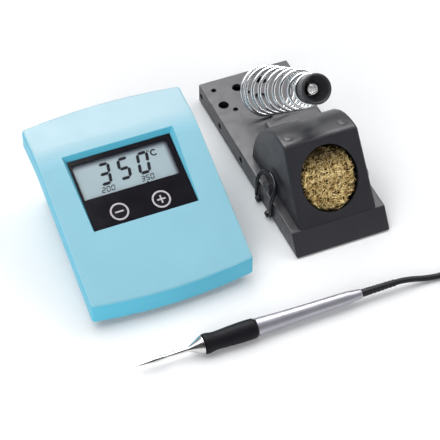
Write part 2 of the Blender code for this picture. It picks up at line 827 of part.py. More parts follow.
def clip_lug(base, side, end):
    """A round eye on the base's side that one foot of a clip turns in."""
    x = side * clip_axis_x()
    inner, outer = sorted((side * (STAND_HALF - 1.9 * MM), x))
    near, far = sorted(end * (CLIP_HALF - reach * MM) for reach in (2.2, 4.6))
    low = (inner, CLIP_MIDDLE + near, CLIP_PIVOT_Z - 1.5 * MM)
    high = (outer, CLIP_MIDDLE + far, CLIP_PIVOT_Z + 1.5 * MM)
    ends = [(x, CLIP_MIDDLE + reach, CLIP_PIVOT_Z) for reach in (near, far)]
    join(base, box("clip_lug", low, high, item=STAND), cylinder("clip_ring", CLIP_EYE, *ends, item=STAND))
    ends = [(x, CLIP_MIDDLE + end * reach, CLIP_PIVOT_Z) for reach in (2 * MM, CLIP_HALF)]
    cut(base, cylinder("clip_eye", CLIP_WIRE + GAP, *ends, item=STAND, sides=12))


def clip_axis_x():
    return STAND_HALF + GAP + CLIP_WIRE


def keeper(side):
    """A raised rounded tab on the base's ledge, between the legs of a side clip."""
    inner = side * 27 * MM
    outer = side * 30.6 * MM
    low, high = sorted((inner, outer))
    outline = [(44.5, 12.5), (54.5, 12.5), (53.5, 18.5), (51.5, 20.6), (47.5, 20.6), (45.5, 18.5)]
    points = [(y * MM, z * MM) for y, z in outline]
    return prism("keeper", points, low, high, SIDE_VIEW, item=STAND)


def ballast_plate():
    """A steel plate that closes the base's underside and gives it weight."""
    low = 1.5 * MM
    high = 4.5 * MM
    half = STAND_HALF - STAND_WALL - GAP
    rear = STAND_LENGTH - STAND_WALL - GAP
    front = 7 * MM
    box("ballast_plate", (-half, front, low), (half, rear, high), bright_steel(), STAND)
    names = ("front_left", "front_right", "rear_left", "rear_right")
    for (x, y), name in zip([(-22, 18), (22, 18), (-22, 144), (22, 144)], names):
        profile = [(0, 1.2 * MM), (5 * MM, 1.2 * MM), (4.6 * MM, 0), (0, 0)]
        place = Matrix.Translation((x * MM, y * MM, 0))
        turned(f"stand_foot_{name}", profile, place, black_rubber(), STAND, 16)


def hood_outline(wall):
    """Side view of the hood, or of the space a wall thickness inside it, run on below its lower edge."""
    slant = wall * math.hypot(1, FRONT_LEAN)
    bottom = HOOD_BOTTOM - 4 * MM
    crest_y = 41.4 * MM
    rear = HOOD_REAR - wall
    top = HOOD_TOP - wall
    spring = 15 * MM
    points = [(FRONT_LEAN * bottom + slant, bottom), (rear, bottom)]
    steps = 9
    for step in range(steps + 1):
        angle = math.pi / 2 * step / steps
        y = crest_y + (rear - crest_y) * math.cos(angle)
        z = spring + (top - spring) * math.sin(angle)
        points.append((y, z))
    points.append((FRONT_LEAN * top + slant, top))
    return points


def hood_solid(name, wall, look=None):
    solid = prism(name, hood_outline(wall), -30 * MM, 30 * MM, SIDE_VIEW, look, STAND)
    low_half = HOOD_HALF_LOW - wall
    high_half = HOOD_HALF_HIGH - wall
    widths = tapered_box(
        name + "_widths",
        (-low_half, -20 * MM, HOOD_BOTTOM - 6 * MM),
        (low_half, 120 * MM, HOOD_TOP + 5 * MM),
        (-high_half, -20 * MM),
        (high_half, 120 * MM),
        item=STAND,
    )
    combine(solid, widths, "INTERSECT")
    return solid


def oval(name, inset, inner, outer, look=None):
    """An upright oval bar through the front face, from a depth inside it to a height outside it."""
    matrix = front_face_frame(OPENING_Z)
    points = []
    steps = 28
    for step in range(steps):
        angle = 2 * math.pi * step / steps
        x = (OPENING_HALF_WIDTH - inset) * math.cos(angle)
        y = (OPENING_HALF_HEIGHT - inset) * math.sin(angle)
        points.append((x, y))
    return prism(name, points, -inner, outer, matrix, look, STAND)


def hood():
    shell = hood_solid("hood", 0, charcoal_plastic())
    bevel(shell, 2.0 * MM)
    below = box("below_hood", (-40 * MM, -20 * MM, 0), (40 * MM, 120 * MM, HOOD_BOTTOM), item=STAND)
    cut(shell, hood_solid("hood_hollow", HOOD_WALL), below)
    cut(shell, oval("hood_opening", 0, 12 * MM, 8 * MM))
    low = (-18.6 * MM, HOOD_REAR - 14 * MM, HOOD_BOTTOM - 3 * MM)
    high = (18.6 * MM, HOOD_REAR + 6 * MM, 41.6 * MM)
    cut(shell, box("bracket_notch", low, high, item=STAND))


def holder_bracket():
    """The block behind the hood that the spiral rests on."""
    bracket = box(
        "holder_bracket",
        (-18.2 * MM, 72 * MM, HOOD_BOTTOM),
        (18.2 * MM, 81.4 * MM, 41.2 * MM),
        charcoal_plastic(),
        STAND,
    )
    bevel(bracket, 1.5 * MM)


def wool_tray():
    """The open tray that holds the brass wool against the hood's opening."""
    depth = (HOOD_WALL + 0.6 * MM) * math.hypot(1, FRONT_LEAN)
    low = HOOD_BOTTOM + GAP
    top = 30 * MM
    rear = 58 * MM
    outline = [(FRONT_LEAN * low + depth, low), (rear, low), (rear, top), (FRONT_LEAN * top + depth, top)]
    tray = prism("wool_tray", outline, -21.5 * MM, 21.5 * MM, SIDE_VIEW, charcoal_plastic(), STAND)
    inner_low = (-20 * MM, 0, low + 1.5 * MM)
    inner_high = (20 * MM, rear - 1.5 * MM, 50 * MM)
    cut(tray, box("tray_hollow", inner_low, inner_high, item=STAND))


def brass_wool():
    """A wad of shavings behind the opening, flat where it lies on the tray."""
    wad = oval("brass_wool", 0.8 * MM, 26 * MM, -0.4 * MM, brass_metal())
    low = HOOD_BOTTOM + 2.3 * MM
    cut(wad, box("wool_floor", (-30 * MM, -20 * MM, -20 * MM), (30 * MM, 100 * MM, low), item=STAND))


def side_clip(name, side):
    """A bent wire clip: two legs up the base's side, leaning in above the ledge to rest on the hood.

    Its origin is on its hinge, between its feet.
    """
    outer = clip_axis_x()
    inner = HOOD_HALF_LOW + GAP + CLIP_WIRE
    ledge = STAND_TOP + 1.5 * MM
    spring = ledge + 3.5 * MM
    foot = [(4.6, 0), (1.0, 0), (0.3, 0.3), (0, 1.0)]
    leg = [(outer, inward * MM - CLIP_HALF, CLIP_PIVOT_Z + rise * MM) for inward, rise in foot]
    leg += [(outer, -CLIP_HALF, 9 * MM), (outer - 0.3 * MM, -CLIP_HALF, ledge)]
    arch = []
    steps = 10
    for step in range(steps + 1):
        angle = math.pi * step / steps
        rise = math.sin(angle)
        x = inner + (outer - inner) * (1 - rise) * 0.75
        arch.append((x, -CLIP_HALF * math.cos(angle), spring + (CLIP_CROWN - spring) * rise))
    points = leg + arch + [(x, -y, z) for x, y, z in reversed(leg)]
    points = [(side * (x - outer), y, z - CLIP_PIVOT_Z) for x, y, z in points]
    clip = tube(name, points, CLIP_WIRE, black_gloss(), STAND)
    clip.location = (side * outer, CLIP_MIDDLE, CLIP_PIVOT_Z)


# Holder


def holder_frame(distance=0.0):
    """The holder's frame, Z along its axis out of the funnel's mouth, at a distance behind the mouth."""
    axis = Vector((0, -math.cos(HOLDER_RISE), math.sin(HOLDER_RISE)))
    up = Vector((0, math.sin(HOLDER_RISE), math.cos(HOLDER_RISE)))
    matrix = frame_of(MOUTH_CENTRE, up.cross(axis), up)
    return matrix @ Matrix.Translation((0, 0, -distance))


def spiral_radius(distance):
    """The spiral widens quickly from the funnel's neck, then slowly down to its large end."""
    if distance < SPIRAL_START:
        return SPIRAL_NECK_RADIUS
    share = (distance - SPIRAL_START) / (SPIRAL_END - SPIRAL_START)
    quick = min(share * 8, 1)
    slow = SPIRAL_LARGE_RADIUS - SPIRAL_SMALL_RADIUS
    return SPIRAL_NECK_RADIUS + (SPIRAL_SMALL_RADIUS - SPIRAL_NECK_RADIUS) * quick + slow * share


def spiral_point(distance, angle):
    radius = spiral_radius(distance)
    return holder_frame(distance) @ Vector((radius * math.cos(angle), radius * math.sin(angle), 0))


def spiral_points():
    """One close turn on the neck, the open turns, and one flat turn at the large end."""
    lowest = -math.pi / 2
    points = []
    neck_steps = SPIRAL_STEPS
    open_steps = SPIRAL_TURNS * SPIRAL_STEPS
    end_steps = SPIRAL_STEPS * 5 // 6
    total = neck_steps + open_steps + end_steps
    for step in range(total + 1):
        angle = lowest - 2 * math.pi * (total - step) / SPIRAL_STEPS
        if step < neck_steps:
            distance = SPIRAL_START - 0.3 * MM - 2.4 * MM * (1 - step / neck_steps)
        elif step < neck_steps + open_steps:
            share = (step - neck_steps) / open_steps
            distance = SPIRAL_START + (SPIRAL_END - 2.4 * MM - SPIRAL_START) * share
        else:
            share = (step - neck_steps - open_steps) / end_steps
            distance = SPIRAL_END - 2.4 * MM * (1 - share)
        points.append(spiral_point(distance, angle))
    return points


def spiral_foot():
    """The lower end of the short leg that fixes the spiral in the base."""
    lowest = spiral_point(SPIRAL_END, -math.pi / 2)
    return Vector((lowest.x, lowest.y, STAND_TOP - 2.0 * MM))


def holder_spiral():
    tube("holder_spiral", spiral_points() + [spiral_foot()], SPIRAL_WIRE, bright_steel(), STAND)


def holder_funnel():
    profile = [(8.2, 0), (9.2, -0.3), (9.45, -1.2), (8.9, -11), (7.4, -11.4), (7.4, -19.5)]
    profile += [(4.2, -19.5), (4.2, -9), (7.6, -1)]
    points = [(radius * MM, height * MM) for radius, height in profile]
    turned("holder_funnel", points, holder_frame(), charcoal_plastic(), STAND, 28, closed=True)
    profile = [(3.2, -7.5), (3.8, -7.8), (3.8, -26), (3.2, -26)]
    points = [(radius * MM, height * MM) for radius, height in profile]
    turned("funnel_sleeve", points, holder_frame(), bright_steel(), STAND, 32, closed=True)


# Pencil iron, lying along +X from its tip


ALONG_X = frame_of((0, 0, 0), (0, 1, 0), (0, 0, 1))


def lathe_x(name, profile, look, closed=False, steps=24):
    """A piece turned round the pencil's axis.

    The profile holds (distance from the tip, radius) in millimetres, from the rear forwards.
    """
    points = [(radius * MM, along * MM) for along, radius in profile]
    turned(name, points, ALONG_X, look, PENCIL, steps, closed)


def pencil():
    lathe_x(
        "tip_cartridge",
        [(64, 0), (64, 2.4), (41.6, 2.4), (41.6, 5.4), (41.1, 5.8), (33.8, 1.9), (31.8, 1.25), (22.32, 1.0),
         (20.08, 0.85), (13.95, 1.25), (10.23, 1.15), (1.12, 0.3), (0, 0)],
        bright_steel(),
        steps=20,
    )
    lathe_x(
        "grip",
        [(75, 3.9), (75, 4.9), (74.7, 5.6), (73.6, 6.1), (67.6, 6.2), (58.1, 5.85), (49.8, 5.45), (46.6, 5.75),
         (44, 6.2), (42.4, 6.0), (42, 5.7), (42, 3.9)],
        black_rubber(),
        closed=True,
    )
    lathe_x(
        "handle_tube",
        [(143.4, 2.5), (143.3, 2.9), (135.4, 3.95), (122, 4.15), (106, 4.4), (90, 4.85), (77.6, 5.35),
         (75.6, 5.4), (75.3, 5.2), (75.3, 3.6), (42.4, 3.6), (42.4, 2.8), (138, 2.8), (138, 2.5)],
        satin_silver(),
        closed=True,
    )
    lathe_x("contact_socket", [(82, 0), (82, 2.4), (64.4, 2.4), (64.4, 0)], charcoal_plastic(), steps=16)
    lathe_x(
        "cord_boot",
        [(165.8, 0), (165.8, 2.1), (152, 2.25), (144.4, 2.4), (143.7, 2.4), (143.7, 2.2), (139, 2.2),
         (139, 0)],
        black_rubber(),
        steps=20,
    )


# Cord


LEAD_ROUTE = [
    (77.3, -96.95, 6.3),
    (82.25, -97.0, 5.9),
    (88.25, -97.3, 4.8),
    (94.25, -98.0, 3.5),
    (101.25, -98.8, 2.5),
    (109.25, -99.4, 2.3),
    (117.15, -99.65, 2.7),
]
END_ROUTE = [
    (146.65, -99.9, 5.4),
    (152.25, -101.4, 4.3),
    (158.85, -105.6, 3.0),
    (163.85, -111.5, 2.2),
    (166.85, -118.4, 2.6),
    (167.75, -124.4, 4.8),
    (167.75, -127.6, 5.6),
    (167.75, -130.0, 5.6),
]
CONNECTOR_PLACE = Vector((167.75, -130.3, 5.6)) * MM


def smooth_route(route, spacing):
    """Points along one smooth curve through the route's own points."""
    knots = [Vector(place) * MM for place in route]
    ends = [2 * knots[0] - knots[1]] + knots + [2 * knots[-1] - knots[-2]]
    points = []
    for i in range(1, len(ends) - 2):
        before, start, end, after = ends[i - 1 : i + 3]
        count = max(1, round((end - start).length / spacing))
        for step in range(count):
            t = step / count
            linear = (end - before) / 2
            square = before - 2.5 * start + 2 * end - 0.5 * after
            cube = (after - before) / 2 + 1.5 * (start - end)
            points.append(start + linear * t + square * t**2 + cube * t**3)
    points.append(knots[-1])
    return points


def cord():
    tube("cord_lead", smooth_route(LEAD_ROUTE, 4 * MM), CORD_RADIUS, black_rubber(), FLOOR)
    tube("cord_end", smooth_route(END_ROUTE, 4 * MM), CORD_RADIUS, black_rubber(), FLOOR)
    half = COIL_COLUMNS * CORD_RADIUS
    inner = COIL_MID_RADIUS - half
    outer = COIL_MID_RADIUS + half
    low = COIL_LIFT
    high = COIL_LIFT + COIL_ROWS * 2 * CORD_RADIUS
    profile = [(inner, high), (outer, high), (outer, low), (inner, low)]
    turned("cord_coil", profile, Matrix.Translation(COIL_CENTRE), black_rubber(), FLOOR, 32, True)
    cord_tie(inner, outer, high)


def cord_tie(inner, outer, high):
    """A strap round the coil's nearest side."""
    width = 4 * MM
    strap = 0.8 * MM
    slack = 0.6 * MM
    low = COIL_CENTRE + Vector((-width, -outer - GAP, COIL_LIFT - GAP))
    top = COIL_CENTRE + Vector((width, slack + GAP - inner, high + GAP))
    skin = Vector((0, strap, strap))
    tie = box("cord_tie", low - skin, top + skin, charcoal_plastic(), FLOOR)
    reach = Vector((width, 0, 0))
    cut(tie, box("tie_hollow", low - reach, top + reach, item=FLOOR))


def connector():
    """The plug at the cord's far end: a boot, a shell, a nose and the ring that locks it in its socket."""
    along = frame_of(CONNECTOR_PLACE, (-1, 0, 0), (0, 0, 1))
    boot = [(0, 0), (2.3, 0), (3.2, -10), (0, -10)]
    shell = [(0, -10.3), (4.3, -10.3), (4.8, -11.5), (4.8, -21), (0, -21)]
    nose = [(0, -21.3), (4.0, -21.3), (4.0, -34), (0, -34)]
    ring = [(4.4, -21.6), (5.4, -21.6), (5.4, -30), (4.4, -30)]
    shapes = (
        ("connector_boot", boot, black_rubber(), False),
        ("connector_shell", shell, charcoal_plastic(), False),
        ("connector_nose", nose, bright_steel(), False),
        ("connector_ring", ring, bright_steel(), True),
    )
    for name, profile, look, closed in shapes:
        points = [(radius * MM, height * MM) for radius, height in profile]
        turned(name, points, along, look, FLOOR, 20, closed)


def main():
    upper_housing()
    lower_housing()
    display_panel()
    key("minus_key", -1)
    key("plus_key", 1)
    display_board()
    main_board()
    transformer()
    power_inlet()
    power_switch()
    iron_socket()
    unit_fasteners()
    stand_base()
    ballast_plate()
    hood()
    holder_bracket()
    wool_tray()
    brass_wool()
    side_clip("left_clip", -1)
    side_clip("right_clip", 1)
    holder_spiral()
    holder_funnel()
    pencil()
    cord()
    connector()


main()
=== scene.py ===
"""Looks for the soldering iron station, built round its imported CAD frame. Metres, +Z up."""

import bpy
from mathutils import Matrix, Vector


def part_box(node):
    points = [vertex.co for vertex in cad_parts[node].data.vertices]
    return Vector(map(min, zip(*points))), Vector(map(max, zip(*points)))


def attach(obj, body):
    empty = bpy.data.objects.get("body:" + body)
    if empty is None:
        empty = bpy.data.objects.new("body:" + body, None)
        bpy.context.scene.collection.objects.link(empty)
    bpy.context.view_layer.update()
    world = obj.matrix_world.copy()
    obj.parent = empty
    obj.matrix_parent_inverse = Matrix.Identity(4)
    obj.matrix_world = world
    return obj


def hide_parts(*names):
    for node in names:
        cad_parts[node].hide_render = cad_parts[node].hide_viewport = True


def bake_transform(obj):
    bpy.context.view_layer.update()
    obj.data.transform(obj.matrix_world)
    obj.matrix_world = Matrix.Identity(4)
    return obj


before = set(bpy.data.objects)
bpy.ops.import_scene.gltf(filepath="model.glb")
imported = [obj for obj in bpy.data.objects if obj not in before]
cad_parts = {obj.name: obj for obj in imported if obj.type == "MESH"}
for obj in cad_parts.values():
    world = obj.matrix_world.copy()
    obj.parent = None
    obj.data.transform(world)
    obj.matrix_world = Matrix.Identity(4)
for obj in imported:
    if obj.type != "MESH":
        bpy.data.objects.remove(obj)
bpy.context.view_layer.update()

import math
import random

import bpy
from mathutils import Matrix, Vector

MM = 0.001

# Control unit
PANEL_TILT = math.radians(19)
PANEL_HEIGHT = 48 * MM
FACE_MIDDLE = -1.1 * MM
WINDOW_HALF = 30.5 * MM
WINDOW_HIGH = 45.0 * MM
KEY_OFFSET = 13.4 * MM
KEY_UP = 7.6 * MM
DISPLAY_SINK = 2.05 * MM
DIGIT_SLANT = 0.18

# Stand and holder
STAND_LENGTH = 156.2 * MM
FRONT_LEAN = 0.6546
HOLDER_RISE = math.radians(40.3)
MOUTH_PLACE = Vector((0, 46.8, 90.2)) * MM
SPIRAL_TURNS = 7
SPIRAL_START = 15 * MM
SPIRAL_END = 96.5 * MM
SPIRAL_NECK_RADIUS = 8.8 * MM
SPIRAL_SMALL_RADIUS = 10.8 * MM
SPIRAL_LARGE_RADIUS = 15.9 * MM
SPIRAL_WIRE = 1.0 * MM
SPIRAL_STEPS = 48
BASE_TOP = 14.4 * MM
HOOD_CREST_Y = 41.4 * MM
HOOD_REAR = 82.6 * MM
HOOD_SPRING = 15 * MM
HOOD_TOP = 58.3 * MM

# Clips
CLIP_WIRE = 1.3 * MM
CLIP_FOOT_SHARE = 0.8
CLIP_AXIS_X = 32.9 * MM
CLIP_LEAN_X = 27.6 * MM
CLIP_MIDDLE = 48.2 * MM
CLIP_HALF = 10.6 * MM
CLIP_PIVOT_Z = 2.9 * MM
CLIP_CROWN = 27 * MM

# Brass wool, behind the hood's oval opening
OPENING_Z = 36.5 * MM
WOOL_HALF_WIDTH = 18.2 * MM
WOOL_HALF_HEIGHT = 20.6 * MM
CURL_COUNT = 850

# Cord
CORD_RADIUS = 1.8 * MM
COIL_OUTER_TURN = 26.9 * MM
COIL_LOW_Z = 3.0 * MM
COIL_COLUMNS = 4
COIL_STEPS = 40
LEAD_ROUTE = [
    (77.3, -96.95, 6.3),
    (82.25, -97.0, 5.9),
    (88.25, -97.3, 4.8),
    (94.25, -98.0, 3.5),
    (101.25, -98.8, 2.5),
    (109.25, -99.4, 2.3),
    (117.15, -99.65, 2.7),
]
END_ROUTE = [
    (146.65, -99.9, 5.4),
    (152.25, -101.4, 4.3),
    (158.85, -105.6, 3.0),
    (163.85, -111.5, 2.2),
    (166.85, -118.4, 2.6),
    (167.75, -124.4, 4.8),
    (167.75, -127.6, 5.6),
    (167.75, -130.0, 5.6),
]

# The direction in which the studio is dark
DARK_SIDE = (-0.271, -0.639, 0.719)


# Materials


class Look:
    """A material with a Principled shader, and procedural textures laid on in its object's own metres."""

    def __init__(self, name, colour, roughness, metallic=0.0):
        self.material = bpy.data.materials.new(name)
        self.material.use_nodes = True
        self.tree = self.material.node_tree
        self.shader = self.tree.nodes["Principled BSDF"]
        self.colour = colour
        self.set("Base Color", (*colour, 1))
        self.set("Roughness", roughness)
        self.set("Metallic", metallic)
        self.height = None

    def set(self, socket, value):
        self.shader.inputs[socket].default_value = value
        return self

    def node(self, kind, **values):
        made = self.tree.nodes.new(kind)
        for key, value in values.items():
            setattr(made, key, value)
        return made

    def link(self, output, socket):
        self.tree.links.new(output, socket)

    def noise(self, size, detail=3.0, stretch=(1, 1, 1)):
        """Noise whose blotches are about that size in metres."""
        place = self.node("ShaderNodeTexCoord")
        mapping = self.node("ShaderNodeMapping")
        mapping.inputs["Scale"].default_value = stretch
        texture = self.node("ShaderNodeTexNoise")
        texture.inputs["Scale"].default_value = 1 / size
        texture.inputs["Detail"].default_value = detail
        self.link(place.outputs["Object"], mapping.inputs["Vector"])
        self.link(mapping.outputs["Vector"], texture.inputs["Vector"])
        return texture.outputs["Fac"]

    def ranged(self, fac, low, high, from_low=0.3, from_high=0.7):
        mapped = self.node("ShaderNodeMapRange")
        mapped.inputs["From Min"].default_value = from_low
        mapped.inputs["From Max"].default_value = from_high
        mapped.inputs["To Min"].default_value = low
        mapped.inputs["To Max"].default_value = high
        self.link(fac, mapped.inputs["Value"])
        return mapped.outputs["Result"]

    def mottle(self, size, amount, tint=None):
        """Varies the colour between two shades of it."""
        dark = [c * (1 - amount) for c in self.colour]
        light = tint or [min(c * (1 + amount), 1) for c in self.colour]
        ramp = self.node("ShaderNodeMix", data_type="RGBA")
        ramp.inputs["A"].default_value = (*dark, 1)
        ramp.inputs["B"].default_value = (*light, 1)
        fac = self.ranged(self.noise(size), 0, 1)
        self.link(fac, ramp.inputs["Factor"])
        self.link(ramp.outputs["Result"], self.shader.inputs["Base Color"])
        return self

    def paint_sheen_by_slope(self, side_colour, flat_sheen_colour):
        """A fuller blue on faces that stand upright, and paler ones on faces that lie flatter: painted sheen
        from the lamps above.
        """
        normal = self.node("ShaderNodeNewGeometry")
        apart = self.node("ShaderNodeSeparateXYZ")
        self.link(normal.outputs["Normal"], apart.inputs["Vector"])
        upright = self.ranged(apart.outputs["Z"], 1, 0, 0.3, 0.85)
        # Painted sheen: the flattest faces are painted paler still.
        flat = self.ranged(apart.outputs["Z"], 0, 1, 0.95, 0.998)
        for shade, share in ((side_colour, upright), (flat_sheen_colour, flat)):
            mix = self.node("ShaderNodeMix", data_type="RGBA")
            mix.inputs["B"].default_value = (*shade, 1)
            self.link(share, mix.inputs["Factor"])
            self.link(self.shader.inputs["Base Color"].links[0].from_socket, mix.inputs["A"])
            self.link(mix.outputs["Result"], self.shader.inputs["Base Color"])
        return self

    def fade(self, axis, low, high, shade):
        """Paints shade: multiplies the colour by a darker shade along an axis, more and more from low to
        high.
        """
        place = self.node("ShaderNodeTexCoord")
        along = self.node("ShaderNodeVectorMath", operation="DOT_PRODUCT")
        along.inputs[1].default_value = axis
        self.link(place.outputs["Object"], along.inputs[0])
        mix = self.node("ShaderNodeMix", data_type="RGBA", blend_type="MULTIPLY")
        mix.inputs["B"].default_value = (*shade, 1)
        self.link(self.ranged(along.outputs["Value"], 0, 1, low, high), mix.inputs["Factor"])
        self.link(self.shader.inputs["Base Color"].links[0].from_socket, mix.inputs["A"])
        self.link(mix.outputs["Result"], self.shader.inputs["Base Color"])
        return self

    def rub(self, size, low, high):
        """Varies the roughness."""
        self.link(self.ranged(self.noise(size, 4.0), low, high), self.shader.inputs["Roughness"])
        return self

    def grain(self, size, depth, stretch=(1, 1, 1)):
        """A bump of that size and depth, laid over the last one."""
        bump = self.node("ShaderNodeBump")
        bump.inputs["Strength"].default_value = 1
        bump.inputs["Distance"].default_value = depth
        self.link(self.noise(size, 2.0, stretch), bump.inputs["Height"])
        if self.height:
            self.link(self.height, bump.inputs["Normal"])
        self.height = bump.outputs["Normal"]
        self.link(self.height, self.shader.inputs["Normal"])
        return self


BLUE = Look("blue_plastic", (0.215, 0.465, 0.565), 0.36)
# Painted sheen: the blue is painted paler on its flatter faces, palest on the flat rear, and fuller on its
# upright sides.
BLUE.mottle(26 * MM, 0.025).paint_sheen_by_slope((0.085, 0.47, 0.64), (0.215, 0.36, 0.42))
BLUE.rub(9 * MM, 0.33, 0.41).grain(0.45 * MM, 0.012 * MM)
BLUE_LOW = Look("blue_plastic_low", (0.13, 0.47, 0.60), 0.42)
BLUE_LOW.mottle(22 * MM, 0.03).rub(9 * MM, 0.38, 0.48).grain(0.5 * MM, 0.02 * MM)
PANEL_BLACK = Look("panel_black", (0.005, 0.004, 0.007), 0.13).set("Specular IOR Level", 0.2)
PANEL_BLACK.rub(12 * MM, 0.1, 0.17).grain(6 * MM, 0.01 * MM)
KEY_BLACK = Look("key_black", (0.006, 0.005, 0.008), 0.18).set("Specular IOR Level", 0.2)
KEY_BLACK.rub(3 * MM, 0.14, 0.24).grain(3 * MM, 0.01 * MM)
CHARCOAL = Look("charcoal_plastic", (0.027, 0.025, 0.030), 0.42)
CHARCOAL.mottle(14 * MM, 0.08).rub(5 * MM, 0.34, 0.46).grain(0.5 * MM, 0.03 * MM)
HOOD_GREY = Look("hood_plastic", (0.021, 0.0205, 0.025), 0.36)
HOOD_GREY.mottle(16 * MM, 0.08).rub(6 * MM, 0.32, 0.42).grain(0.42 * MM, 0.035 * MM)
DARK_PLASTIC = Look("dark_plastic", (0.018, 0.018, 0.021), 0.38)
DARK_PLASTIC.mottle(9 * MM, 0.12).rub(4 * MM, 0.32, 0.45).grain(0.35 * MM, 0.02 * MM)
FUNNEL_BLACK = Look("funnel_plastic", (0.024, 0.023, 0.027), 0.4)
FUNNEL_BLACK.mottle(5 * MM, 0.1).rub(3 * MM, 0.34, 0.48).grain(0.4 * MM, 0.02 * MM)
CLIP_BLACK = Look("clip_black", (0.010, 0.010, 0.012), 0.2).rub(2 * MM, 0.14, 0.28).grain(1 * MM, 0.02 * MM)
GRIP_RUBBER = Look("grip_rubber", (0.007, 0.0065, 0.009), 0.6).set("Specular IOR Level", 0.14)
GRIP_RUBBER.mottle(4 * MM, 0.15).rub(2 * MM, 0.44, 0.6).grain(0.3 * MM, 0.03 * MM)
CORD_RUBBER = Look("cord_silicone", (0.010, 0.010, 0.012), 0.5).set("Specular IOR Level", 0.35)
CORD_RUBBER.mottle(5 * MM, 0.15).rub(3 * MM, 0.4, 0.55).grain(0.6 * MM, 0.03 * MM)
FOOT_RUBBER = Look("foot_rubber", (0.022, 0.022, 0.024), 0.75).mottle(3 * MM, 0.2).grain(0.4 * MM, 0.05 * MM)
CHROME = Look("chrome", (0.95, 0.965, 0.98), 0.09, 1.0).mottle(7 * MM, 0.05).rub(3 * MM, 0.05, 0.14)
CHROME.grain(1.6 * MM, 0.01 * MM)
STEEL = Look("polished_steel", (0.70, 0.68, 0.66), 0.16, 1.0).mottle(4 * MM, 0.06).rub(1.4 * MM, 0.1, 0.2)
STEEL.grain(0.6 * MM, 0.006 * MM, stretch=(1, 6, 6))
PLATE = Look("steel_plate", (0.10, 0.10, 0.11), 0.5, 0.8).mottle(20 * MM, 0.1).rub(6 * MM, 0.42, 0.58)
PLATE.grain(0.8 * MM, 0.02 * MM, stretch=(1, 12, 1))
SILVER = Look("satin_silver", (0.42, 0.41, 0.455), 0.34, 0.75).mottle(12 * MM, 0.04).rub(4 * MM, 0.3, 0.38)
SILVER.grain(0.35 * MM, 0.008 * MM, stretch=(0.2, 1, 1))
BRASS = Look("brass_shavings", (1.0, 0.60, 0.16), 0.22, 0.45)
# Painted shade: the shavings are darkened towards the top, where the hood's opening shades them.
BRASS.mottle(2.6 * MM, 0.6, tint=(1.0, 0.79, 0.38)).fade((0, 0, 1), 41 * MM, 49 * MM, (0.16, 0.15, 0.14))
BRASS.rub(2 * MM, 0.16, 0.36).grain(0.5 * MM, 0.03 * MM)
# Painted shade: the wool's core is painted dark brown, standing for the shade deep in the wad between the
# curls.
WOOL_CORE_SHADE = Look("wool_shade", (0.055, 0.032, 0.009), 0.6, 0.4)
WOOL_CORE_SHADE.mottle(2.4 * MM, 0.6).rub(2 * MM, 0.45, 0.7).grain(1.6 * MM, 0.5 * MM)
DISPLAY = Look("display_grey", (0.35, 0.445, 0.485), 0.3).mottle(30 * MM, 0.02).rub(14 * MM, 0.26, 0.34)
DISPLAY.grain(0.6 * MM, 0.004 * MM)
INK = Look("display_ink", (0.004, 0.004, 0.008), 0.45).set("Specular IOR Level", 0.1)
INK.mottle(6 * MM, 0.1).rub(4 * MM, 0.3, 0.4)
PRINT = Look("white_print", (0.40, 0.37, 0.41), 0.45).mottle(2 * MM, 0.04).rub(1.5 * MM, 0.4, 0.5)
BOARD = Look("circuit_board", (0.02, 0.13, 0.06), 0.4).mottle(2 * MM, 0.3).grain(0.8 * MM, 0.03 * MM)
COPPER = Look("copper_winding", (0.62, 0.26, 0.11), 0.35, 0.9).mottle(2 * MM, 0.15)
COPPER.grain(0.7 * MM, 0.15 * MM, stretch=(0.05, 1, 1))
STRAP = Look("strap_fabric", (0.022, 0.022, 0.026), 0.85).mottle(1 * MM, 0.3).grain(0.5 * MM, 0.12 * MM)
CLEAR = Look("clear_window", (0.12, 0.13, 0.14), 0.06).set("Alpha", 0.05).rub(20 * MM, 0.04, 0.09)
WHITE_FLOOR = Look("studio_floor", (0.86, 0.86, 0.865), 0.8)


def wear(obj, look):
    obj.data.materials.clear()
    obj.data.materials.append(look.material)
    return obj


# Shapes


def new_piece(name, mesh, look, body, stands_for=()):
    """Links a mesh made in the row frame as a piece that rides on a body."""
    obj = bpy.data.objects.new(name, mesh)
    bpy.context.scene.collection.objects.link(obj)
    mesh.shade_smooth()
    wear(obj, look)
    if body:
        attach(obj, body)
    if stands_for:
        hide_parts(*stands_for)
    return obj


def mesh_of(name, points, faces):
    mesh = bpy.data.meshes.new(name)
    mesh.from_pydata([tuple(point) for point in points], [], faces)
    mesh.update()
    return mesh


def frame_of(origin, across, up):
    """A matrix whose X, Y and Z are across, up and the normal of the two, at the origin."""
    across = Vector(across).normalized()
    up = Vector(up).normalized()
    matrix = Matrix((across, up, across.cross(up))).transposed().to_4x4()
    matrix.translation = origin
    return matrix


def lathe_mesh(name, profile, matrix, steps=64, closed=False, ripple=None):
    """A profile of (radius, height) in metres, turned round the matrix's Z, running down its outer side.

    ripple(angle, height) scales the radius.
    """
    points = []
    faces = []
    rings = []
    for radius, height in profile:
        if radius < 1e-7:
            rings.append([len(points)])
            points.append(matrix @ Vector((0, 0, height)))
            continue
        rings.append(list(range(len(points), len(points) + steps)))
        for step in range(steps):
            angle = 2 * math.pi * step / steps
            r = radius * (ripple(angle, height) if ripple else 1)
            points.append(matrix @ Vector((r * math.cos(angle), r * math.sin(angle), height)))
    pairs = list(zip(rings, rings[1:]))
    if closed:
        pairs.append((rings[-1], rings[0]))
    for upper, lower in pairs:
        for step in range(steps):
            after = (step + 1) % steps
            corners = [upper[step % len(upper)], lower[step % len(lower)]]
            corners += [lower[after % len(lower)], upper[after % len(upper)]]
            faces.append(tuple(dict.fromkeys(corners)))
    return mesh_of(name, points, faces)


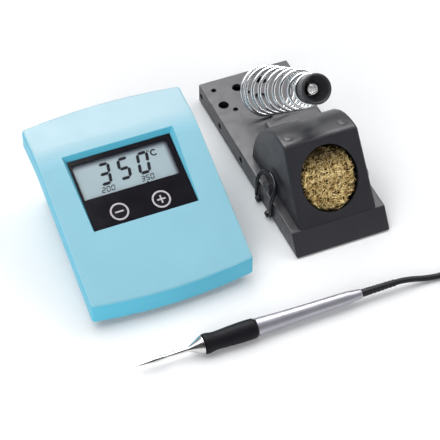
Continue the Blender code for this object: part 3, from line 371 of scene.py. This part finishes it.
def rounded(profile, radius, steps=3):
    """A profile with each inner corner rounded by up to that radius."""
    made = [profile[0]]
    for before, corner, after in zip(profile, profile[1:], profile[2:]):
        back = Vector(before) - Vector(corner)
        ahead = Vector(after) - Vector(corner)
        reach = min(radius, back.length * 0.45, ahead.length * 0.45)
        start = Vector(corner) + back.normalized() * reach
        end = Vector(corner) + ahead.normalized() * reach
        for step in range(steps + 1):
            t = step / steps
            point = start * (1 - t) ** 2 + 2 * Vector(corner) * t * (1 - t) + end * t**2
            made.append((point.x, point.y))
    made.append(profile[-1])
    return made


def tube_mesh(name, path, radius, sides=14, taper=None):
    """A round rod along a path, with domed ends."""
    path = [Vector(point) for point in path]
    count = len(path)
    tangents = []
    for i in range(count):
        tangents.append((path[min(i + 1, count - 1)] - path[max(i - 1, 0)]).normalized())
    normal = tangents[0].orthogonal().normalized()
    points = []
    faces = []
    rings = []
    for i, (place, tangent) in enumerate(zip(path, tangents)):
        if i:
            turn = tangents[i - 1].rotation_difference(tangent)
            normal = (turn @ normal).normalized()
        side = tangent.cross(normal)
        r = radius * (taper(i / (count - 1)) if taper else 1)
        rings.append(len(points))
        for step in range(sides):
            angle = 2 * math.pi * step / sides
            points.append(place + (normal * math.cos(angle) + side * math.sin(angle)) * r)
    for ring, after in zip(rings, rings[1:]):
        for step in range(sides):
            ahead = (step + 1) % sides
            faces.append((ring + step, ring + ahead, after + ahead, after + step))
    for end, ring, sign in ((0, rings[0], -1), (-1, rings[-1], 1)):
        tip = len(points)
        points.append(path[end] + tangents[end] * sign * radius * 0.25)
        for step in range(sides):
            ahead = (step + 1) % sides
            corners = (ring + ahead, ring + step, tip)
            faces.append(corners if sign < 0 else corners[::-1])
    return mesh_of(name, points, faces)


def smooth_route(route, spacing):
    """Points along one smooth curve through the route's own points."""
    knots = [Vector(place) * MM for place in route]
    ends = [2 * knots[0] - knots[1]] + knots + [2 * knots[-1] - knots[-2]]
    points = []
    for i in range(1, len(ends) - 2):
        before, start, end, after = ends[i - 1 : i + 3]
        count = max(1, round((end - start).length / spacing))
        for step in range(count):
            t = step / count
            linear = (end - before) / 2
            square = before - 2.5 * start + 2 * end - 0.5 * after
            cube = (after - before) / 2 + 1.5 * (start - end)
            points.append(start + linear * t + square * t**2 + cube * t**3)
    points.append(knots[-1])
    return points


def ease(value):
    """A smooth step from 0 to 1."""
    value = min(max(value, 0), 1)
    return value * value * (3 - 2 * value)


# The frame's own nodes


def finish_node(name, look, edge=0.35 * MM, segments=2, angle=32):
    """A CAD node's better surface: welded, its edges rounded, smooth over its curves."""
    obj = wear(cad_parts[name], look)
    custom = obj.data.attributes.get("custom_normal")
    if custom:
        obj.data.attributes.remove(custom)
    obj.data.shade_smooth()
    weld = obj.modifiers.new("weld", "WELD")
    weld.merge_threshold = 0.004 * MM
    flat = obj.modifiers.new("planes", "DECIMATE")
    flat.decimate_type = "DISSOLVE"
    flat.angle_limit = math.radians(0.4)
    if edge:
        bevel = obj.modifiers.new("edges", "BEVEL")
        bevel.width = edge
        bevel.segments = segments
        bevel.limit_method = "ANGLE"
        bevel.angle_limit = math.radians(angle)
        bevel.harden_normals = False
    weighted = obj.modifiers.new("normals", "WEIGHTED_NORMAL")
    weighted.keep_sharp = True
    return obj


CORNERS = ("front_left", "front_right", "rear_left", "rear_right")
NODE_LOOKS = [
    (("upper_housing",), BLUE, 0.5 * MM),
    (("lower_housing",), BLUE_LOW, 0.4 * MM),
    (("display_panel",), PANEL_BLACK, 0.12 * MM),
    (("minus_key", "plus_key"), KEY_BLACK, 0.12 * MM),
    (("display_window",), CLEAR, 0),
    (("lcd_module",), DISPLAY, 0.1 * MM),
    (("stand_base",), CHARCOAL, 0.45 * MM),
    (("hood",), HOOD_GREY, 0.6 * MM),
    (("holder_bracket",), CHARCOAL, 0.3 * MM),
    (("wool_tray",), DARK_PLASTIC, 0.2 * MM),
    (("funnel_sleeve", "connector_nose", "iron_socket"), STEEL, 0.1 * MM),
    (("heat_sink",), STEEL, 0.15 * MM),
    (("ballast_plate",), PLATE, 0.3 * MM),
    (("power_inlet", "power_switch_body", "contact_socket", "transformer_core"), DARK_PLASTIC, 0.3 * MM),
    (("relay", "minus_switch", "plus_switch", "filter_capacitor"), DARK_PLASTIC, 0.2 * MM),
    (("power_rocker",), KEY_BLACK, 0.5 * MM),
    (("display_board", "main_board"), BOARD, 0.1 * MM),
    (("transformer_coil",), COPPER, 0.4 * MM),
    (tuple(f"unit_foot_{corner}" for corner in CORNERS), FOOT_RUBBER, 0.3 * MM),
    (tuple(f"stand_foot_{corner}" for corner in CORNERS), FOOT_RUBBER, 0.2 * MM),
    (tuple(f"housing_screw_{corner}" for corner in CORNERS), STEEL, 0.15 * MM),
    (("board_screw_left", "board_screw_right"), STEEL, 0.1 * MM),
]


def finish_nodes():
    for names, look, edge in NODE_LOOKS:
        for name in names:
            finish_node(name, look, edge)


# Display and keys


def panel_frame():
    low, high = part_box("display_panel")
    origin = Vector(((low.x + high.x) / 2, low.y, high.z - PANEL_HEIGHT * math.sin(PANEL_TILT)))
    return frame_of(origin, (1, 0, 0), (0, math.cos(PANEL_TILT), math.sin(PANEL_TILT)))


PANEL = panel_frame()


def shade_display():
    """The window's rim shades the display along its top and its right-hand edge."""
    shade = (0.30, 0.27, 0.33)
    up = PANEL.col[1].to_3d()
    top = up.dot(PANEL.translation) + WINDOW_HIGH
    DISPLAY.fade(up, top - 3.6 * MM, top - 0.2 * MM, shade)
    right = PANEL.translation.x + FACE_MIDDLE + WINDOW_HALF
    DISPLAY.fade((1, 0, 0), right - 2.4 * MM, right - 0.1 * MM, shade)


def slab(name, outlines, low, high, matrix, look, body):
    """Flat outlines as one piece, extruded from low to high along the matrix's Z."""
    points = []
    faces = []
    for outline in outlines:
        start = len(points)
        count = len(outline)
        for z in (low, high):
            points.extend(matrix @ Vector((x, y, z)) for x, y in outline)
        faces.append(tuple(range(start + count - 1, start - 1, -1)))
        faces.append(tuple(range(start + count, start + 2 * count)))
        for i in range(count):
            j = (i + 1) % count
            faces.append((start + i, start + j, start + count + j, start + count + i))
    piece = new_piece(name, mesh_of(name, points, faces), look, body)
    piece.data.shade_flat()
    return piece


def bar(start, end, half, slope=0.0):
    """A segment of a digit: a bar with pointed ends."""
    start = Vector(start)
    end = Vector(end)
    along = (end - start).normalized()
    side = Vector((-along.y, along.x)) * half
    tip = along * half
    outline = [start, start + tip - side, end - tip - side, end, end - tip + side, start + tip + side]
    return [(point.x + slope * point.y, point.y) for point in outline]


SEGMENTS = {
    "0": "abcdef",
    "2": "abged",
    "3": "abgcd",
    "5": "afgcd",
}


def digit(figure, left, bottom, width, height, half):
    """The lit segments of one seven-segment figure."""
    middle = height / 2
    gap = half * 0.15
    spans = {
        "a": ((gap, height), (width - gap, height)),
        "b": ((width, height - gap), (width, middle + gap)),
        "c": ((width, middle - gap), (width, gap)),
        "d": ((gap, 0), (width - gap, 0)),
        "e": ((0, gap), (0, middle - gap)),
        "f": ((0, middle + gap), (0, height - gap)),
        "g": ((gap, middle), (width - gap, middle)),
    }
    outlines = []
    for name in SEGMENTS[figure]:
        outline = bar(*spans[name], half, DIGIT_SLANT)
        outlines.append([(left + x, bottom + y) for x, y in outline])
    return outlines


def ring_outlines(x, y, inner, outer, start=0.0, turn=2 * math.pi, steps=40):
    """A ring or an arc as a row of four-cornered outlines."""
    outlines = []
    for step in range(steps):
        a = start + turn * step / steps
        b = start + turn * (step + 1) / steps
        corners = [(inner, a), (outer, a), (outer, b), (inner, b)]
        outlines.append([(x + r * math.cos(t), y + r * math.sin(t)) for r, t in corners])
    return outlines


def display_figures():
    """The measured temperature in large figures, the two set points below it, and the unit's sign."""
    outlines = []
    for index, figure in enumerate("350"):
        left = (-17.7 + index * 12.5) * MM
        outlines += digit(figure, left, 28.4 * MM, 5.9 * MM, 13.0 * MM, 1.0 * MM)
    for text, left in (("200", -19.1), ("350", 6.1)):
        for index, figure in enumerate(text):
            outlines += digit(figure, (left + index * 3.0) * MM, 23.2 * MM, 1.9 * MM, 3.1 * MM, 0.3 * MM)
    marker = [(8.4, 21.5), (10.2, 21.5), (9.3, 22.7)]
    outlines.append([(x * MM, y * MM) for x, y in marker])
    outlines += ring_outlines(16.6 * MM, 41.6 * MM, 0.4 * MM, 0.75 * MM, steps=16)
    outlines += ring_outlines(
        19.8 * MM, 39.6 * MM, 1.35 * MM, 2.3 * MM, math.radians(42), math.radians(276), steps=20
    )
    matrix = PANEL @ Matrix.Translation((0, 0, -DISPLAY_SINK))
    slab("display_figures", outlines, 0, 0.03 * MM, matrix, INK, "control_unit")


def key_prints():
    """The white ring and sign on each key."""
    for name, side in (("minus", -1), ("plus", 1)):
        x = FACE_MIDDLE + side * KEY_OFFSET
        outlines = ring_outlines(x, KEY_UP, 4.7 * MM, 5.8 * MM)
        corners = ((-2.7, -0.5), (2.7, -0.5), (2.7, 0.5), (-2.7, 0.5))
        outlines.append([(x + u * MM, KEY_UP + v * MM) for u, v in corners])
        if side > 0:
            for low, high in ((-2.7, -0.52), (0.52, 2.7)):
                corners = ((-0.5, low), (0.5, low), (0.5, high), (-0.5, high))
                outlines.append([(x + u * MM, KEY_UP + v * MM) for u, v in corners])
        slab(f"{name}_print", outlines, 0.01 * MM, 0.05 * MM, PANEL, PRINT, f"{name}_key")


# Stand


def stand_origin():
    low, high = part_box("stand_base")
    return Vector(((low.x + high.x) / 2, high.y - STAND_LENGTH, 0))


STAND = stand_origin()


def holder_frame(distance=0.0):
    """The holder's frame, Z along its axis out of the funnel's mouth, at a distance behind the mouth."""
    axis = Vector((0, -math.cos(HOLDER_RISE), math.sin(HOLDER_RISE)))
    up = Vector((0, math.sin(HOLDER_RISE), math.cos(HOLDER_RISE)))
    matrix = frame_of(STAND + MOUTH_PLACE, up.cross(axis), up)
    return matrix @ Matrix.Translation((0, 0, -distance))


def spiral_radius(distance):
    if distance < SPIRAL_START:
        return SPIRAL_NECK_RADIUS
    share = (distance - SPIRAL_START) / (SPIRAL_END - SPIRAL_START)
    quick = ease(share * 8)
    slow = SPIRAL_LARGE_RADIUS - SPIRAL_SMALL_RADIUS
    return SPIRAL_NECK_RADIUS + (SPIRAL_SMALL_RADIUS - SPIRAL_NECK_RADIUS) * quick + slow * share


def spiral():
    """The holder's wire: one close turn on the neck, seven open turns, and one flat turn at the large end."""
    points = []
    open_steps = SPIRAL_TURNS * SPIRAL_STEPS
    end_steps = SPIRAL_STEPS * 5 // 6
    total = SPIRAL_STEPS + open_steps + end_steps
    for step in range(total + 1):
        angle = -math.pi / 2 - 2 * math.pi * (total - step) / SPIRAL_STEPS
        if step < SPIRAL_STEPS:
            distance = SPIRAL_START - 0.3 * MM - 2.4 * MM * (1 - step / SPIRAL_STEPS)
        elif step < SPIRAL_STEPS + open_steps:
            share = (step - SPIRAL_STEPS) / open_steps
            distance = SPIRAL_START + (SPIRAL_END - 2.4 * MM - SPIRAL_START) * share
        else:
            share = (step - SPIRAL_STEPS - open_steps) / end_steps
            distance = SPIRAL_END - 2.4 * MM * (1 - share)
        radius = spiral_radius(distance)
        place = Vector((radius * math.cos(angle), radius * math.sin(angle), 0))
        points.append(holder_frame(distance) @ place)
    foot = points[-1].copy()
    foot.z = BASE_TOP - 1.8 * MM
    points += [points[-1].lerp(foot, share) for share in (0.5, 1.0)]
    mesh = tube_mesh("spiral_wire", points, SPIRAL_WIRE, 12)
    new_piece("spiral_wire", mesh, CHROME, "stand", ["holder_spiral"])


def funnel():
    profile = [(7.7, -1.0), (8.3, -0.1), (9.1, -0.2), (9.45, -1.1), (9.35, -3), (8.95, -10.6), (8.4, -11.3)]
    profile += [(7.4, -11.5), (7.4, -19.5), (4.25, -19.5), (4.25, -9.2), (4.6, -8.4), (7.4, -2.2)]
    points = [(radius * MM, height * MM) for radius, height in profile]
    mesh = lathe_mesh("funnel_cup", points, holder_frame(), closed=True)
    new_piece("funnel_cup", mesh, FUNNEL_BLACK, "stand", ["holder_funnel"])


def clip(name, side):
    """One side clip's bent wire."""
    spring = BASE_TOP + 5 * MM
    foot = [(4.6, 0), (2.0, 0), (1.0, 0.02), (0.55, 0.15), (0.2, 0.45), (0.03, 0.9), (0, 1.6)]
    leg = [(CLIP_AXIS_X, inward * MM - CLIP_HALF, CLIP_PIVOT_Z + rise * MM) for inward, rise in foot]
    leg += [(CLIP_AXIS_X, -CLIP_HALF, 9 * MM), (CLIP_AXIS_X - 0.3 * MM, -CLIP_HALF, BASE_TOP + 1.5 * MM)]
    arch = []
    steps = 28
    for step in range(steps + 1):
        angle = math.pi * step / steps
        rise = math.sin(angle)
        x = CLIP_LEAN_X + (CLIP_AXIS_X - CLIP_LEAN_X) * (1 - rise) * 0.75
        arch.append((x, -CLIP_HALF * math.cos(angle), spring + (CLIP_CROWN - spring) * rise))
    points = leg + arch + [(x, -y, z) for x, y, z in reversed(leg)]
    place = STAND + Vector((0, CLIP_MIDDLE, 0))
    path = [place + Vector((side * x, y, z)) for x, y, z in points]

    def thinner_feet(share):
        """The wire is drawn down where it turns in its eyes."""
        rise = min(share, 1 - share)
        return CLIP_FOOT_SHARE + (1 - CLIP_FOOT_SHARE) * ease((rise - 0.12) / 0.06)

    mesh = tube_mesh(f"{name}_wire", path, CLIP_WIRE, 14, thinner_feet)
    new_piece(f"{name}_wire", mesh, CLIP_BLACK, name, [name])


def hood_marks():
    """Two faint round marks on the hood's curved top, left by its moulding."""
    for name, x in (("left", -18.6 * MM), ("right", 17.4 * MM)):
        along = 45.5 * MM
        share = (along - HOOD_CREST_Y) / (HOOD_REAR - HOOD_CREST_Y)
        rise = math.sqrt(1 - share**2)
        place = STAND + Vector((x, along, HOOD_SPRING + (HOOD_TOP - HOOD_SPRING) * rise))
        slope = -(HOOD_TOP - HOOD_SPRING) * share / (rise * (HOOD_REAR - HOOD_CREST_Y))
        profile = [(0, 0.05), (2.0, 0.05), (2.3, 0), (2.6, 0.05), (2.9, 0.04), (3.05, -0.3), (0, -0.3)]
        points = [(radius * MM, height * MM) for radius, height in profile]
        mesh = lathe_mesh(f"hood_mark_{name}", points, frame_of(place, (1, 0, 0), (0, 1, slope)), 40)
        new_piece(f"hood_mark_{name}", mesh, HOOD_GREY, "hood")


def front_frame():
    """The frame of the hood's leaning front face, at the opening's middle."""
    origin = STAND + Vector((0, FRONT_LEAN * OPENING_Z, OPENING_Z))
    return frame_of(origin, (1, 0, 0), (0, FRONT_LEAN, 1))


def wool():
    """A wad of curled shavings, over a dark core of painted shade."""
    matrix = front_frame()
    core = []
    rows = 10
    for row in range(rows + 1):
        angle = math.pi / 2 * row / rows
        core.append((math.sin(angle), -6.5 * MM + 4.6 * MM * math.cos(angle)))
    core += [(1, -16 * MM), (0.8, -25 * MM), (0, -26 * MM)]
    stretch = Matrix.Diagonal((WOOL_HALF_WIDTH - 0.8 * MM, WOOL_HALF_HEIGHT - 0.8 * MM, 1, 1))
    floor = STAND.z + 17.3 * MM
    mesh = lathe_mesh("wool_core", core, matrix @ stretch, 48)
    for vertex in mesh.vertices:
        vertex.co.z = max(vertex.co.z, floor)
    new_piece("wool_core", mesh, WOOL_CORE_SHADE, "wool")
    draw = random.Random(7)
    points = []
    faces = []
    for _ in range(CURL_COUNT):
        spread = math.sqrt(draw.random())
        around = draw.uniform(0, 2 * math.pi)
        u = spread * math.cos(around)
        v = spread * math.sin(around)
        dome = math.sqrt(max(0.0, 1 - spread**2))
        depth = draw.uniform(-6.6, -3.0) * MM + 2.6 * MM * dome
        centre = Vector((u * (WOOL_HALF_WIDTH - 1.2 * MM), v * (WOOL_HALF_HEIGHT - 1.2 * MM), depth))
        axis = Vector((draw.gauss(0, 1), draw.gauss(0, 1), draw.gauss(0, 0.7))).normalized()
        across = axis.orthogonal().normalized()
        other = axis.cross(across)
        radius = draw.uniform(1.0, 2.8) * MM
        pitch = draw.uniform(0.5, 1.6) * MM
        turn = draw.uniform(0.7, 1.6) * 2 * math.pi
        phase = draw.uniform(0, 2 * math.pi)
        half = draw.uniform(0.2, 0.5) * MM
        steps = 12
        start = len(points)
        for step in range(steps + 1):
            share = step / steps
            angle = phase + turn * share
            swell = radius * (0.8 + 0.4 * share)
            place = centre + (across * math.cos(angle) + other * math.sin(angle)) * swell
            place += axis * pitch * (share - 0.5)
            lean = (across * math.cos(angle) + other * math.sin(angle)) * 0.35
            width = (axis + lean).normalized() * half
            points += [place - width, place + width]
        for step in range(steps):
            first = start + 2 * step
            faces.append((first, first + 1, first + 3, first + 2))
    inside = []
    top = -0.5 * MM
    for point in points:
        reach = math.hypot(point.x / WOOL_HALF_WIDTH, point.y / WOOL_HALF_HEIGHT)
        if reach > 1:
            point = Vector((point.x / reach, point.y / reach, point.z))
        point = Vector((point.x, point.y, min(point.z, top)))
        inside.append(matrix @ point)
    mesh = mesh_of("wool_curls", inside, faces)
    curls = new_piece("wool_curls", mesh, BRASS, "wool", ["brass_wool"])
    solid = curls.modifiers.new("thickness", "SOLIDIFY")
    solid.thickness = 0.06 * MM
    solid.offset = 0


# Pencil iron


def pencil_frame():
    """Z runs along the iron from its tip to its cord."""
    low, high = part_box("tip_cartridge")
    origin = Vector((low.x, (low.y + high.y) / 2, (low.z + high.z) / 2))
    return frame_of(origin, (0, 1, 0), (0, 0, 1))


def along_iron(name, profile, look, body, stands_for, closed=False, ripple=None, soft=0.4):
    """A turned piece of the iron. The profile holds (distance from the tip, radius) in millimetres."""
    points = [(radius * MM, distance * MM) for distance, radius in profile]
    if soft:
        points = rounded(points, soft * MM)
    mesh = lathe_mesh(name, points, pencil_frame(), 72, closed, ripple)
    return new_piece(name, mesh, look, body, stands_for)


def iron():
    cone = [(64, 0), (64, 2.4), (41.6, 2.4), (41.6, 5.2), (41.4, 5.75), (40.8, 5.6)]
    cone += [(37.6, 3.85), (34.6, 2.25)]
    cone += [(33, 1.5), (31.8, 1.3), (26.96, 1.2), (22.32, 1.12), (21.2, 0.95), (19.9, 0.95), (17.48, 1.3)]
    cone += [(13.48, 1.5), (10.23, 1.42), (6.51, 1.05), (2.79, 0.66), (0.84, 0.36), (0, 0)]
    along_iron("tip_and_cone", cone, STEEL, "tip", ["tip_cartridge"], soft=0.3)

    def ribs(angle, height):
        """Shallow flutes round the grip's front swelling."""
        share = ease((height / MM - 43) / 1.5) * ease((50.6 - height / MM) / 2)
        return 1 + 0.012 * share * math.cos(angle * 24)

    grip = [(75, 3.9), (75, 4.8), (74.6, 5.6), (73.6, 6.05), (70.2, 6.18), (65.2, 6.15), (59.6, 5.95)]
    grip += [(54.6, 5.65), (51.2, 5.45), (49, 5.42), (47.2, 5.6), (45.6, 5.9), (44, 6.18), (42.8, 6.1)]
    grip += [(42.1, 5.8), (42, 3.9)]
    along_iron("soft_grip", grip, GRIP_RUBBER, "pencil", ["grip"], True, ribs)
    tube = [(143.4, 2.5), (143.35, 2.8), (142.6, 3.05), (139, 3.4), (135.4, 3.9), (129, 4.08), (122, 4.18)]
    tube += [(114, 4.28), (106, 4.42), (98, 4.62), (90, 4.86), (83, 5.15), (78, 5.35), (75.8, 5.4)]
    tube += [(75.35, 5.2), (75.3, 3.6), (42.4, 3.6), (42.4, 2.8), (138, 2.8), (138, 2.5)]
    along_iron("satin_handle", tube, SILVER, "pencil", ["handle_tube"], True, soft=0.25)
    boot = [(165.8, 0), (165.8, 2.0), (165.6, 2.12)]
    for ridge in range(6):
        start = 163.5 - ridge * 2.6
        radius = 2.16 + ridge * 0.045
        groove = radius - 0.22
        boot += [(start + 0.9, radius), (start + 0.45, groove), (start, groove), (start - 0.45, radius)]
    boot += [(144.4, 2.42), (143.8, 2.38), (143.7, 2.2), (139, 2.2), (139, 0)]
    along_iron("cord_sleeve", boot, CORD_RUBBER, "pencil", ["cord_boot"], soft=0.15)


# Cord


def coil_path(centre):
    """Four flat turns inwards, a climb, then turns outwards on top of them.

    Each turn keeps its radius, and all turns of a layer step to the next radius at the same place.
    """
    pitch = 2 * CORD_RADIUS
    inner = COIL_OUTER_TURN - (COIL_COLUMNS - 1) * pitch
    points = []
    for step in range(COIL_COLUMNS * COIL_STEPS + 1):
        turn = step / COIL_STEPS
        whole = min(int(turn), COIL_COLUMNS - 1)
        share = turn - whole
        last = whole == COIL_COLUMNS - 1
        radius = COIL_OUTER_TURN - pitch * (whole + (0 if last else ease((share - 0.82) / 0.18)))
        z = COIL_LOW_Z + (pitch * ease((share - 0.55) / 0.27) if last else 0)
        points.append((turn, radius, z))
    for step in range(1, (COIL_COLUMNS - 1) * COIL_STEPS + 1):
        turn = step / COIL_STEPS
        share = turn - int(turn)
        radius = inner + pitch * (int(turn) + ease((share - 0.27) / 0.2))
        points.append((COIL_COLUMNS + turn, radius, COIL_LOW_Z + pitch))
    path = []
    for turn, radius, z in points:
        angle = math.pi / 2 - 2 * math.pi * turn
        path.append(centre + Vector((radius * math.cos(angle), radius * math.sin(angle), z)))
    return path


def cord():
    """The iron's cord, from its sleeve round the coil to its connector, on one line."""
    low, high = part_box("cord_coil")
    centre = Vector(((low.x + high.x) / 2, (low.y + high.y) / 2, 0))
    lead = smooth_route(LEAD_ROUTE, 3 * MM)
    tail = smooth_route(END_ROUTE, 3 * MM)
    coil = coil_path(centre)
    between_in = [lead[-1].lerp(coil[0], share / 4) for share in range(1, 4)]
    between_out = [coil[-1].lerp(tail[0], share / 4) for share in range(1, 4)]
    path = lead + between_in + coil + between_out + tail
    mesh = tube_mesh("iron_cord", path, CORD_RADIUS, 14)
    nodes = ["cord_lead", "cord_coil", "cord_end"]
    piece = new_piece("iron_cord", mesh, CORD_RUBBER, None, nodes)
    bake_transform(piece)
    boot = boot_and_shell()
    tie = cord_tie(centre)


def boot_and_shell():
    """The connector's ridged boot, grooved shell and knurled ring."""
    low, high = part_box("connector_boot")
    middle = Vector(((low.x + high.x) / 2, high.y, (low.z + high.z) / 2))
    matrix = frame_of(middle, (-1, 0, 0), (0, 0, 1))
    boot = [(0, 0), (2.2, 0), (2.35, -0.3)]
    for ridge in range(4):
        start = -0.9 - ridge * 2.2
        radius = 2.45 + ridge * 0.2
        boot += [(radius, start), (radius - 0.3, start - 0.3)]
        boot += [(radius - 0.25, start - 0.9), (radius + 0.1, start - 1.2)]
    boot += [(3.2, -9.8), (3.1, -10), (0, -10)]
    shell = [(0, -10.3), (4.1, -10.3), (4.35, -10.5), (4.8, -11.6)]
    for groove in range(3):
        start = -13.4 - groove * 2
        shell += [(4.8, start), (4.55, start - 0.25), (4.55, start - 0.75), (4.8, start - 1)]
    shell += [(4.8, -20.7), (4.6, -21), (0, -21)]
    ring = [(4.4, -21.6), (5.1, -21.6), (5.4, -22.0), (5.4, -29.6), (5.1, -30), (4.4, -30)]

    def knurl(angle, _):
        """Fine ridges round the ring, the same all along it."""
        return 1 + 0.012 * math.cos(angle * 36)

    made = []
    for name, profile, look, body, slot, closed, ripple in (
        ("connector_sleeve", boot, CORD_RUBBER, "control_unit", "black_rubber", False, None),
        ("connector_body", shell, DARK_PLASTIC, "control_unit", "charcoal_plastic", False, None),
        ("locking_ring", ring, STEEL, "lock_ring", "bright_steel", True, knurl),
    ):
        points = [(radius * MM, height * MM) for radius, height in profile]
        mesh = lathe_mesh(name, points, matrix, 72, closed, ripple)
        stands_for = {"connector_sleeve": "connector_boot", "connector_body": "connector_shell"}
        node = stands_for.get(name, "connector_ring")
        made.append(new_piece(name, mesh, look, body, [node]))
    return made


def cord_tie(centre):
    """A woven strap round the coil's nearest side."""
    low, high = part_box("cord_tie")
    half_x = (high.x - low.x) / 2
    outline = []
    radius = 1.6 * MM
    for corner_y, corner_z, start in (
        (high.y - radius, high.z - radius, 0),
        (low.y + radius, high.z - radius, 90),
        (low.y + radius, low.z + radius, 180),
        (high.y - radius, low.z + radius, 270),
    ):
        for step in range(6):
            angle = math.radians(start + 18 * step)
            outline.append((corner_y, corner_z, math.cos(angle), math.sin(angle), radius))
    points = []
    faces = []
    thick = 0.75 * MM
    for x in (-half_x, half_x):
        for inset in (0, thick):
            for y, z, c, s, r in outline:
                points.append(Vector((centre.x + x, y + (r - inset) * c, z + (r - inset) * s)))
    count = len(outline)
    for i in range(count):
        j = (i + 1) % count
        rows = [start * count for start in range(4)]
        near_out, near_in, far_out, far_in = rows
        faces.append((near_out + i, near_out + j, far_out + j, far_out + i))
        faces.append((near_in + j, near_in + i, far_in + i, far_in + j))
        faces.append((near_out + j, near_out + i, near_in + i, near_in + j))
        faces.append((far_out + i, far_out + j, far_in + j, far_in + i))
    mesh = mesh_of("coil_strap", points, faces)
    piece = new_piece("coil_strap", mesh, STRAP, "control_unit", ["cord_tie"])
    piece.data.set_sharp_from_angle(angle=math.radians(50))
    return piece


# Studio


def floor():
    size = 4
    corners = [(-size, -size, 0), (size, -size, 0), (size, size, 0), (-size, size, 0)]
    mesh = mesh_of("floor", corners, [(0, 1, 2, 3)])
    obj = bpy.data.objects.new("floor", mesh)
    bpy.context.scene.collection.objects.link(obj)
    obj.location.z = -0.02 * MM
    wear(obj, WHITE_FLOOR)


def area_light(name, place, width, height, power, shines=True, lights=True):
    """A softbox that faces the object.

    It can be kept out of glossy surfaces, or be seen only in them and light nothing.
    """
    data = bpy.data.lights.new(name, "AREA")
    data.shape = "RECTANGLE"
    data.size = width
    data.size_y = height
    data.energy = power
    obj = bpy.data.objects.new(name, data)
    bpy.context.scene.collection.objects.link(obj)
    obj.location = place
    obj.rotation_euler = (-Vector(place)).to_track_quat("-Z", "Y").to_euler()
    obj.visible_diffuse = lights
    obj.visible_glossy = shines


def studio():
    """A pale room with one dark side, and softboxes behind, above, beside and in front."""
    world = bpy.data.worlds.new("studio")
    world.use_nodes = True
    tree = world.node_tree
    background = tree.nodes["Background"]
    background.inputs["Color"].default_value = (0.92, 0.96, 1.0, 1)
    place = tree.nodes.new("ShaderNodeTexCoord")
    dot = tree.nodes.new("ShaderNodeVectorMath")
    dot.operation = "DOT_PRODUCT"
    dot.inputs[1].default_value = DARK_SIDE
    tree.links.new(place.outputs["Generated"], dot.inputs[0])
    fade = tree.nodes.new("ShaderNodeMapRange")
    fade.inputs["From Min"].default_value = 0.72
    fade.inputs["From Max"].default_value = 0.93
    fade.inputs["To Min"].default_value = 0.36
    fade.inputs["To Max"].default_value = 0.02
    tree.links.new(dot.outputs["Value"], fade.inputs["Value"])
    tree.links.new(fade.outputs["Result"], background.inputs["Strength"])
    bpy.context.scene.world = world
    area_light("rear_softbox", (0.16, 1.09, 1.22), 0.7, 0.6, 13, lights=False)
    area_light("rear_strip", (0.43, 0.72, 1.36), 0.85, 0.4, 8, lights=False)
    area_light("key_softbox", (-0.45, 0.3, 1.4), 1.4, 1.4, 15)
    area_light("rear_key", (0.2, 1.1, 1.2), 0.9, 0.6, 3)
    area_light("side_fill", (0.95, 0.2, 1.1), 0.9, 0.9, 6)
    area_light("front_fill", (-0.9, -1.2, 0.7), 0.9, 0.7, 15, shines=False)
    bpy.context.scene.view_settings.view_transform = "Standard"


def camera():
    """The photograph's view."""
    data = bpy.data.cameras.new("camera")
    data.lens = 158.5
    data.sensor_width = 36
    data.clip_start = 0.05
    data.clip_end = 20
    obj = bpy.data.objects.new("camera", data)
    bpy.context.scene.collection.objects.link(obj)
    shift = Vector((-48.5, -55.65, 0)) * MM
    place = Vector((-274.2, -715.6, 861.9)) * MM + shift
    target = Vector((52.19, 52.87, 0)) * MM + shift
    obj.location = place
    obj.rotation_euler = (target - place).to_track_quat("-Z", "Y").to_euler()
    bpy.context.scene.camera = obj


finish_nodes()
shade_display()
display_figures()
key_prints()
spiral()
funnel()
clip("left_clip", -1)
clip("right_clip", 1)
hood_marks()
wool()
iron()
cord()
floor()
studio()
camera()
